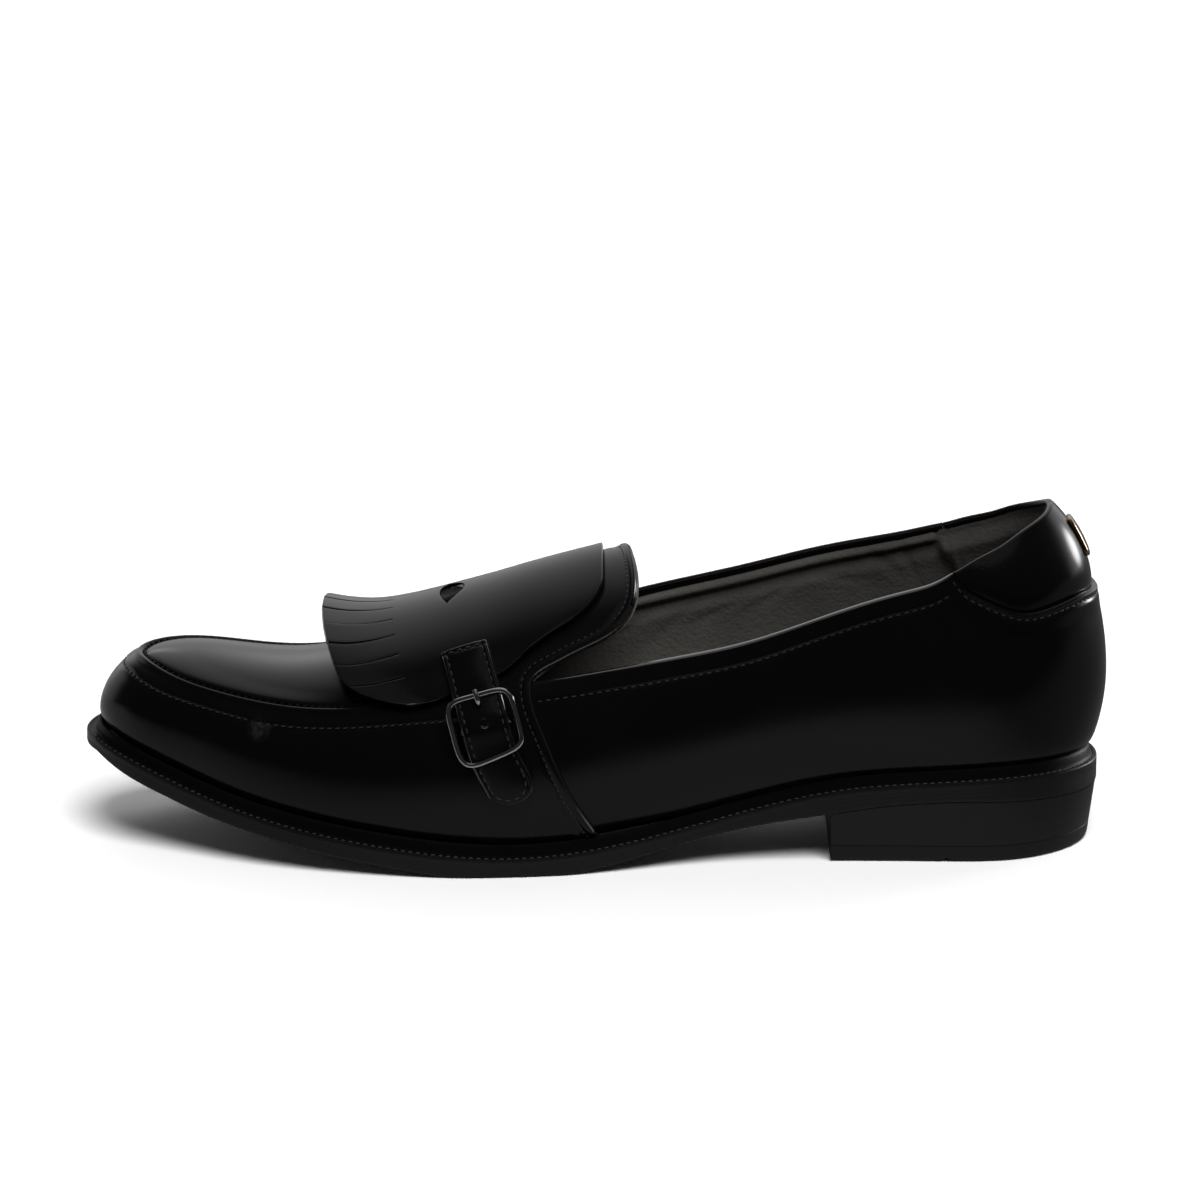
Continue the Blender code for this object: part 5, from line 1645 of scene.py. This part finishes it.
def build_kiltie():
    """Flap over the instep: rear and middle sheets that part at the slot, then separate strips of fringe."""
    strip_wide = 2.0 / KILTIE_STRIPS
    half_slit = KILTIE_SLIT / KILTIE_GIRTH
    inside = np.linspace(half_slit, strip_wide - half_slit, STRIP_POINTS)
    starts = -1 + strip_wide * np.arange(KILTIE_STRIPS)
    w = starts[:, None] + inside[None, :]
    corner = np.linspace(0, 1, STRIP_POINTS) ** CORNER_POWER * (strip_wide - half_slit)
    w[0] = -1 + corner
    w[-1] = 1 - corner[::-1]
    w = w.ravel()
    half = np.abs(w)[np.argmin(np.abs(np.abs(w) - SLOT_HALF))]
    open_share = np.clip(1 - (w / half) ** 2, 0, 1)
    rear_end = SLOT_AT - SLOT_REAR * open_share ** SLOT_POWER
    front_start = SLOT_AT + SLOT_FRONT * open_share
    t = np.linspace(0, 1, 31)[:, None]
    sheets = [t * rear_end, front_start + (KILTIE_SLIT_FROM - front_start) * t[::2]]
    parts = []
    for k in sheets:
        d, q, up = kiltie_place(k, np.broadcast_to(w, k.shape))
        parts.append(grid_part(lifted(d, q, up), skin_normal(d, q)))
    front = np.linspace(KILTIE_SLIT_FROM, 1, STRIP_ROWS)[:, None]
    loose = ease((front - KILTIE_SLIT_FROM) / (1 - KILTIE_SLIT_FROM))
    for i, own in enumerate(w.reshape(KILTIE_STRIPS, STRIP_POINTS)):
        d, q, up = kiltie_place(*np.broadcast_arrays(front, own))
        curl = STRIP_CURL * ((own - own.mean()) / strip_wide * 2) ** 2
        up = up + loose * (STRIP_WAVE * math.sin(STRIP_PHASE[0] * i + STRIP_PHASE[1]) + curl)
        parts.append(grid_part(lifted(d, q, up), skin_normal(d, q)))
    flap = make_piece("kiltie_flap", parts, BLACK_LEATHER, stands_for="kiltie", sharp=60)
    add_thickness(flap, KILTIE_THICK, KILTIE_ROUND)


def add_thickness(piece, thick, rounded):
    """Thickness outwards and softly rounded, burnished cut edges."""
    piece.data.materials.append(EDGE_LEATHER)
    solid = piece.modifiers.new("thickness", "SOLIDIFY")
    solid.material_offset_rim = 1
    solid.thickness = thick * MM
    solid.offset = 1.0
    round_edge = piece.modifiers.new("rounded_edge", "BEVEL")
    round_edge.width = rounded * MM
    round_edge.segments = 3
    round_edge.material = 1
    round_edge.limit_method = "ANGLE"
    round_edge.angle_limit = math.radians(50)
    round_edge.harden_normals = False


def strap_run():
    """Strap centre line: run, d, q and lift, dense enough to read by length."""
    t = np.linspace(0, len(STRAP) - 1, 241)
    rows = np.arange(len(STRAP))
    d, q, lift = (spline(rows, STRAP[:, c], t) for c in range(3))
    return lengths(lifted(d, q, lift)), d, q, lift


STRAP_RUN = strap_run()


def strap_place(along, across):
    """Skin place and lift under the strap at a length from its top end and a distance off its centre."""
    run, d, q, lift = STRAP_RUN
    along, across = np.broadcast_arrays(np.asarray(along, float), np.asarray(across, float))
    d0, q0, up = (np.interp(along, run, column) for column in (d, q, lift))
    beyond = np.clip(along - run[-1], 0, None) + np.clip(along, None, 0)
    slope_d, slope_q = np.gradient(d, run), np.gradient(q, run)
    dd, dq = np.interp(along, run, slope_d), np.interp(along, run, slope_q)
    d0, q0 = d0 + beyond * dd, q0 + beyond * dq
    by_d, by_q = slopes(d0, q0)
    tangent = by_d * dd[..., None] + by_q * dq[..., None]
    side = unit(np.cross(tangent, np.cross(by_q, by_d)))
    move_d, move_q = steps_towards(side, by_d, by_q)
    return d0 + across * move_d, q0 + across * move_q, up


def on_strap(along, across, lift):
    """Points over the skin in the strap's own measure, and the skin's normals there."""
    d, q, _ = strap_place(along, across)
    return lifted(d, q, np.broadcast_to(lift, d.shape)), skin_normal(d, q)


# Rows of the strap at distances inside its edges.
STRAP_EDGE_ROWS = np.array((0, 0.04, 0.14, 0.3, 0.5, 0.75, 1.05))
STRAP_INNER_ROWS = (1.3, 1.55, 1.75, 1.95, 2.2, 2.6, 3.4, 4.4, 5.5)
STRAP_FIRST_ROW = 1.4
STRAP_TIP_POWER = 2.6
STRAP_STITCH = 1.75
STRAP_STITCH_UP = 0.12
STRAP_STITCH_SIZE = (2.3, 1.5, 0.42)
STRAP_STITCH_ENDS = (1.8, 6.2)
TIP_STITCH = 1.9
TIP_STITCH_ROUND = 0.8
TOP_STITCH_SIZE = (2.2, 1.5, 0.42)
TOP_STITCH_SINK = 0.15
STRAP_VALLEY = 0.20
STRAP_TOP_VALLEY = 0.25
STRAP_VALLEY_WIDE = 0.42
STRAP_ARCH_BACK = 0.8
STRAP_ARCH_LONG = 3.9
HOLE_POINTS = 24
# Rim and well of the hole: radius and height.
HOLE_PROFILE = ((1.45, -0.10), (1.25, 0.10), (1.05, 0.16), (0.88, 0.08), (0.80, -0.08), (0.76, -0.16),
                (0.0, -0.16))
HOLE_UP = 0.16


def edge_round(inside):
    """Share of the strap's thickness at a distance inside an edge: a quarter circle."""
    return np.sqrt(1 - (1 - np.clip(inside / STRAP_ROUND, 0, 1)) ** 2)


def tip_round(share):
    """Share of the tip's length that its rounding takes off, by the share of the half width."""
    return 1 - np.sqrt(np.clip(1 - np.abs(share) ** STRAP_TIP_POWER, 0, 1))


def build_strap():
    """Strap: a closed slab domed a little across and rounded over at all its edges, with a stitched
    valley inside them and a rounded tip."""
    long = STRAP_RUN[0][-1]
    half = STRAP_WIDE / 2
    inside = np.concatenate((STRAP_EDGE_ROWS, STRAP_INNER_ROWS))
    a = np.concatenate((-half + inside, (half - inside)[::-1]))
    first = STRAP_FIRST_ROW / long
    ends = STRAP_EDGE_ROWS / long
    s = np.concatenate((ends, np.linspace(first, 1 - first, 111), 1 - ends[::-1]))
    s, a = np.meshgrid(s, a, indexing="ij")
    reach = long - STRAP_TIP * tip_round(a / half)
    along = s * reach
    d, q, up = strap_place(along, a)
    swell = edge_round(half - np.abs(a)) * edge_round(along) * edge_round(reach - along)
    dome = STRAP_DOME * (1 - (a / half) ** 2)
    dome = dome - STRAP_VALLEY * bump(half - np.abs(a) - STRAP_STITCH, STRAP_VALLEY_WIDE)
    dome = dome - STRAP_TOP_VALLEY * bump(along - STRAP_STITCH, STRAP_VALLEY_WIDE)
    low = up + strap_arch(along)
    normal = skin_normal(d, q)
    face = grid_part(lifted(d, q, low + swell * (STRAP_THICK + dome)), normal)
    back = grid_part(lifted(d, q, low), -normal)
    edge = swell.ravel()[quads(*swell.shape)].mean(axis=1) < EDGE_SHARE
    make_piece("strap_leather", [face, back], BLACK_LEATHER, stands_for="strap",
               second=(EDGE_LEATHER, np.concatenate((edge, np.zeros(len(edge), bool)))))
    build_strap_stitches(long, half)
    build_hole()


def build_strap_stitches(long, half):
    """Stitches along both edges of the strap, round its tip and across its top."""
    line = half - STRAP_STITCH
    runs = np.linspace(STRAP_STITCH_ENDS[0], long - STRAP_STITCH_ENDS[1], 90)
    rows = [(runs, np.full_like(runs, side * line), 0.0, STRAP_STITCH_SIZE) for side in (-1.0, 1.0)]
    turn = np.linspace(-1, 1, 40)
    tip = long - TIP_STITCH - (STRAP_TIP - TIP_STITCH_ROUND) * tip_round(turn)
    rows.append((tip, turn * line, STRAP_DOME * (1 - (turn * line / half) ** 2), STRAP_STITCH_SIZE))
    top = np.linspace(-half + TIP_STITCH, half - TIP_STITCH, 30)
    rise = STRAP_DOME * (1 - (top / half) ** 2) - TOP_STITCH_SINK
    rows.append((np.full_like(top, STRAP_STITCH), top, rise, TOP_STITCH_SIZE))
    stitches = [stitch_part(*on_strap(along, across, strap_top(along) + rise), *size)
                for along, across, rise, size in rows]
    make_piece("strap_stitches", stitches, WAXED_THREAD, closed=True)


def strap_arch(along):
    """Rise of the strap where it goes over the buckle's bar."""
    return STRAP_ARCH * bump(along - BUCKLE_AT + STRAP_ARCH_BACK, STRAP_ARCH_LONG)


def strap_top(along):
    """Height of the strap's upper face along its stitch lines."""
    return np.interp(along, STRAP_RUN[0], STRAP_RUN[3]) + STRAP_THICK + STRAP_STITCH_UP + strap_arch(along)


def build_hole():
    """Punched hole in the strap: a small rounded rim round a dark well."""
    at = np.array((BUCKLE_AT + SPARE_HOLE,))
    points, normals = on_strap(at, np.zeros(1), strap_top(at) + HOLE_UP)
    middle, up = points[0], normals[0]
    side = unit(np.cross(up, UP))
    other = np.cross(up, side)
    angle = np.linspace(0, 2 * math.pi, HOLE_POINTS, endpoint=False)[:, None]
    round_way = side * np.cos(angle) + other * np.sin(angle)
    rings = np.array([middle + round_way * radius + up * high for radius, high in HOLE_PROFILE])
    part = grid_part(rings, np.broadcast_to(up, rings.shape), wrap=True)
    make_piece("strap_hole", [part], EDGE_LEATHER, sharp=70)


BUCKLE_FLAT = 0.92
PRONG_FLAT = 1.15
PRONG_UP = 0.25
PRONG_POINTS = 49
PRONG_END = 2.5


def buckle_lift(along):
    """Height of the frame over the skin, tipped a little with the strap."""
    share = np.clip((along + BUCKLE_LONG / 2) / BUCKLE_LONG, 0, 1)
    return BUCKLE_LIFT_TOP + (BUCKLE_LIFT_LOW - BUCKLE_LIFT_TOP) * share


def build_buckle():
    """Buckle frame: an oval rod round a barrelled loop, with its bar under the strap, and the prong over
    it."""
    along, across = rounded_square(120, 2 / BUCKLE_SQUARE, BUCKLE_LONG, BUCKLE_WIDE)
    points, normals = on_strap(BUCKLE_AT + along, across, buckle_lift(along))
    points, normals = (np.concatenate((rows, rows[:1])) for rows in (points, normals))
    run = lengths(points)
    want = np.linspace(0, run[-1], 161)[:-1]
    loop = sweep_part(along_line(run, want, points), along_line(run, want, normals), BUCKLE_ROD,
                      BUCKLE_ROD * BUCKLE_FLAT, 16, cyclic=True)
    half = BUCKLE_WIDE / 2
    span = np.linspace(-half, half, 33)
    rise = ease((np.abs(span) - STRAP_WIDE / 2) / (half - STRAP_WIDE / 2))
    lift = BAR_LIFT + (buckle_lift(0.0) - BAR_LIFT) * rise
    bar = sweep_part(*on_strap(np.full_like(span, BUCKLE_AT), span, lift), BAR_ROD, BAR_ROD, 10)
    make_piece("buckle_loop", [loop, bar], CHROME, stands_for="buckle_frame", closed=True)
    rows = np.arange(len(PRONG))
    t = np.linspace(0, len(PRONG) - 1, PRONG_POINTS)
    along, lift = (spline(rows, PRONG[:, k], t) for k in range(2))
    points, normals = on_strap(BUCKLE_AT + along, np.zeros(PRONG_POINTS), lift + PRONG_UP)
    count = np.arange(PRONG_POINTS)
    end = np.clip(np.minimum(count, count[::-1]) / PRONG_END, 0, 1)
    round_end = PRONG_ROD * np.sqrt(1 - (1 - end) ** 2)
    prong = sweep_part(points, normals, PRONG_FLAT * round_end, round_end, 12)
    make_piece("buckle_tongue", [prong], CHROME, stands_for="buckle_prong", closed=True)


PLATE_HIGH = 11.0
PLATE_WIDE = 9.0
PLATE_LIFT = 0.55
PLATE_THICK = 1.35
PLATE_Q = 0.335
PLATE_POWER = 0.4
PLATE_DOME = 0.25
PLATE_EDGE = 0.35
PLATE_EDGE_FROM = 0.88
PLATE_SIDE = (0.25, 0.0)
PLATE_REACH = 24.0
PLATE_RINGS = np.array((0.0, 0.3, 0.6, 0.8, 0.9, 0.95, 0.98, 1.0, 1.0, 0.98))


def build_plate():
    """Plain plate on the tab: a rounded rectangle with a softly domed face, laid on the heel's curve."""
    rounded = np.clip((PLATE_RINGS - PLATE_EDGE_FROM) / (1 - PLATE_EDGE_FROM), 0, 1) ** 2
    high = PLATE_THICK - PLATE_DOME * PLATE_RINGS ** 2 - PLATE_EDGE * rounded
    high[-2:] = PLATE_SIDE
    edge = rounded_square(64, PLATE_POWER, PLATE_WIDE, PLATE_HIGH)
    wide, tall = (PLATE_RINGS[:, None] * way for way in edge)
    back = lengths(skin(np.full(200, HEEL_END), np.linspace(-1, 0, 200)))[-1]
    q = PLATE_Q - tall / back
    reach = np.linspace(HEEL_END, PLATE_REACH, 400)
    d = np.interp(np.abs(wide), lengths(skin(reach, np.full_like(reach, PLATE_Q))), reach)
    q = np.where(wide > 0, q, -q)
    points = lifted(d, q, PLATE_LIFT + np.broadcast_to(high[:, None], q.shape))
    make_piece("plain_plate", [grid_part(points, skin_normal(d, q), wrap=True)], PLATE_METAL,
               stands_for="heel_plate", sharp=50)


# Stage

FLOOR_HALF = 4.0
FLOORS = (("floor", 1.35, True), ("bounce_floor", 0.42, False))
BOUNCE_DROP = 0.0004
TOE_FADE = (-0.11, 0.0)
TOE_FADE_SOONER = -0.055
FRONT_FADE = (-0.20, -0.07)
FRONT_DARK = 0.02
HEEL_FADE = (0.09, 0.16)
HEEL_DARK = 0.35
# Lights of the studio: direction, cosines where it starts and is full, radiance.
DOME = ((0.0, 0.819, 0.574), 0.44, 0.96, 0.62)
DOME_SIDES = (0.28, 0.52)
LEFT_PANEL = ((-0.70, 0.70, 0.05), 0.85, 0.97, 0.40)
RIGHT_PANEL = ((0.72, 0.68, 0.10), 0.85, 0.97, 1.0)
RIGHT_LAMP = ((0.78, 0.60, 0.15), 0.985, 0.997, 12.0)
AMBIENT = 0.025
OVERHEAD = 2.4
OVERHEAD_FROM = (0.15, -0.50, 0.85)
OVERHEAD_ANGLE = 36.0
INSTEP_LIGHT = 0.18
INSTEP_FROM = (0.24, -0.46, 1.42)
INSTEP_SIZE = 1.3


def build_stage():
    """White floor for the camera, and a second one just below it that only bounces light."""
    for name, bright, seen in FLOORS:
        mesh = bpy.data.meshes.new(name)
        corners = [(x * FLOOR_HALF, y * FLOOR_HALF, 0) for x, y in ((-1, -1), (1, -1), (1, 1), (-1, 1))]
        mesh.from_pydata(corners, [], [(0, 1, 2, 3)])
        obj = bpy.data.objects.new(name, mesh)
        bpy.context.scene.collection.objects.link(obj)
        material = bpy.data.materials.new(name)
        material.use_nodes = True
        tree = material.node_tree
        tree.nodes.clear()
        matt = tree.nodes.new("ShaderNodeBsdfDiffuse")
        matt.inputs["Color"].default_value = (bright, bright, bright, 1.0)
        tree.links.new(matt.outputs[0], tree.nodes.new("ShaderNodeOutputMaterial").inputs[0])
        mesh.materials.append(material)
        obj.visible_camera = seen
        obj.visible_diffuse = not seen
        obj.visible_glossy = not seen
        obj.visible_shadow = not seen
        if not seen:
            fade_front(tree, matt, bright)
            obj.location = (0.0, 0.0, -BOUNCE_DROP)


def fade_front(tree, matt, bright):
    """Darkens a floor towards the camera side, where the studio is black, sooner beside the toe, and
    behind the heel."""
    x, y = (axis_value(tree, "Object", axis) for axis in "XY")
    toe = ramp_node(tree, x, *TOE_FADE, TOE_FADE_SOONER, 0.0)
    front = ramp_node(tree, math_node(tree, "ADD", y, toe), *FRONT_FADE, FRONT_DARK, bright)
    heel = ramp_node(tree, x, *HEEL_FADE, 1.0, HEEL_DARK)
    tree.links.new(math_node(tree, "MULTIPLY", front, heel), matt.inputs["Color"])


def world_term(tree, direction, low, high, top):
    """Radiance that rises smoothly with how closely a direction points at a middle direction."""
    facing = tree.nodes.new("ShaderNodeVectorMath")
    facing.operation = "DOT_PRODUCT"
    tree.links.new(coordinate(tree, "Generated"), facing.inputs[0])
    facing.inputs[1].default_value = Vector(direction).normalized()
    return ramp_node(tree, facing.outputs["Value"], low, high, to_high=top)


def dome_width(tree):
    """Share of the dome's light by how far a direction points to the left or right."""
    across = math_node(tree, "ABSOLUTE", axis_value(tree, "Generated", "X"), 0.0)
    return ramp_node(tree, across, *DOME_SIDES, 1.0, 0.0)


def add_light(name, kind, energy, place):
    """Lamp at a place, turned to the middle of the shoe."""
    data = bpy.data.lights.new(name, kind)
    data.energy = energy
    lamp = bpy.data.objects.new(name, data)
    bpy.context.scene.collection.objects.link(lamp)
    lamp.location = place
    lamp.rotation_euler = Vector(place).to_track_quat("Z", "Y").to_euler()
    return lamp


def build_light():
    """Studio light: a dome behind and overhead, a panel at each side towards the rear and a small lamp at
    the right, dark in front. A soft light overhead reaches matt surfaces only, and a weak panel over the
    instep only shows as a sheen."""
    world = bpy.data.worlds.new("studio")
    bpy.context.scene.world = world
    world.use_nodes = True
    tree = world.node_tree
    back = tree.nodes["Background"]
    total = math_node(tree, "MULTIPLY", world_term(tree, *DOME), dome_width(tree))
    for panel in (LEFT_PANEL, RIGHT_PANEL, RIGHT_LAMP):
        total = math_node(tree, "ADD", total, world_term(tree, *panel))
    tree.links.new(math_node(tree, "ADD", total, AMBIENT), back.inputs["Strength"])
    back.inputs["Color"].default_value = (1.0, 1.0, 1.0, 1.0)
    overhead = add_light("overhead_light", "SUN", OVERHEAD, OVERHEAD_FROM)
    overhead.data.angle = math.radians(OVERHEAD_ANGLE)
    overhead.visible_glossy = False
    area = math.pi * INSTEP_SIZE ** 2 / 4
    instep = add_light("instep_light", "AREA", INSTEP_LIGHT * math.pi * area, INSTEP_FROM)
    instep.data.shape = "DISK"
    instep.data.size = INSTEP_SIZE
    instep.visible_diffuse = False


SENSOR = 36.0
LENS = 171.3
FAR_CLIP = 20.0
CAMERA_AT = (0.5, -1433.2, 446.6)
CAMERA_TILT = 75.0


def build_camera():
    """Camera at the photograph's angle: 15 degrees above the outer side, long lens."""
    data = bpy.data.cameras.new("camera")
    data.sensor_width = SENSOR
    data.lens = LENS
    data.clip_end = FAR_CLIP
    camera = bpy.data.objects.new("camera", data)
    bpy.context.scene.collection.objects.link(camera)
    camera.location = (np.array(CAMERA_AT) + PLACE) * MM
    camera.rotation_euler = (math.radians(CAMERA_TILT), 0.0, 0.0)
    bpy.context.scene.camera = camera


def main():
    """Camera, stage and light, then every piece from the upper down to the small metal parts."""
    build_camera()
    build_stage()
    build_light()
    bpy.context.scene.view_settings.view_transform = "Standard"
    build_vamp()
    edge_stitches = build_folded_edge()
    stitches = build_quarters()
    make_piece("upper_stitches", [edge_stitches] + stitches, WAXED_THREAD, closed=True)
    build_heel_tab()
    build_lining()
    build_vamp_lining()
    build_sole()
    build_heel()
    build_welt()
    build_insole()
    build_kiltie()
    build_strap()
    build_buckle()
    build_plate()


main()
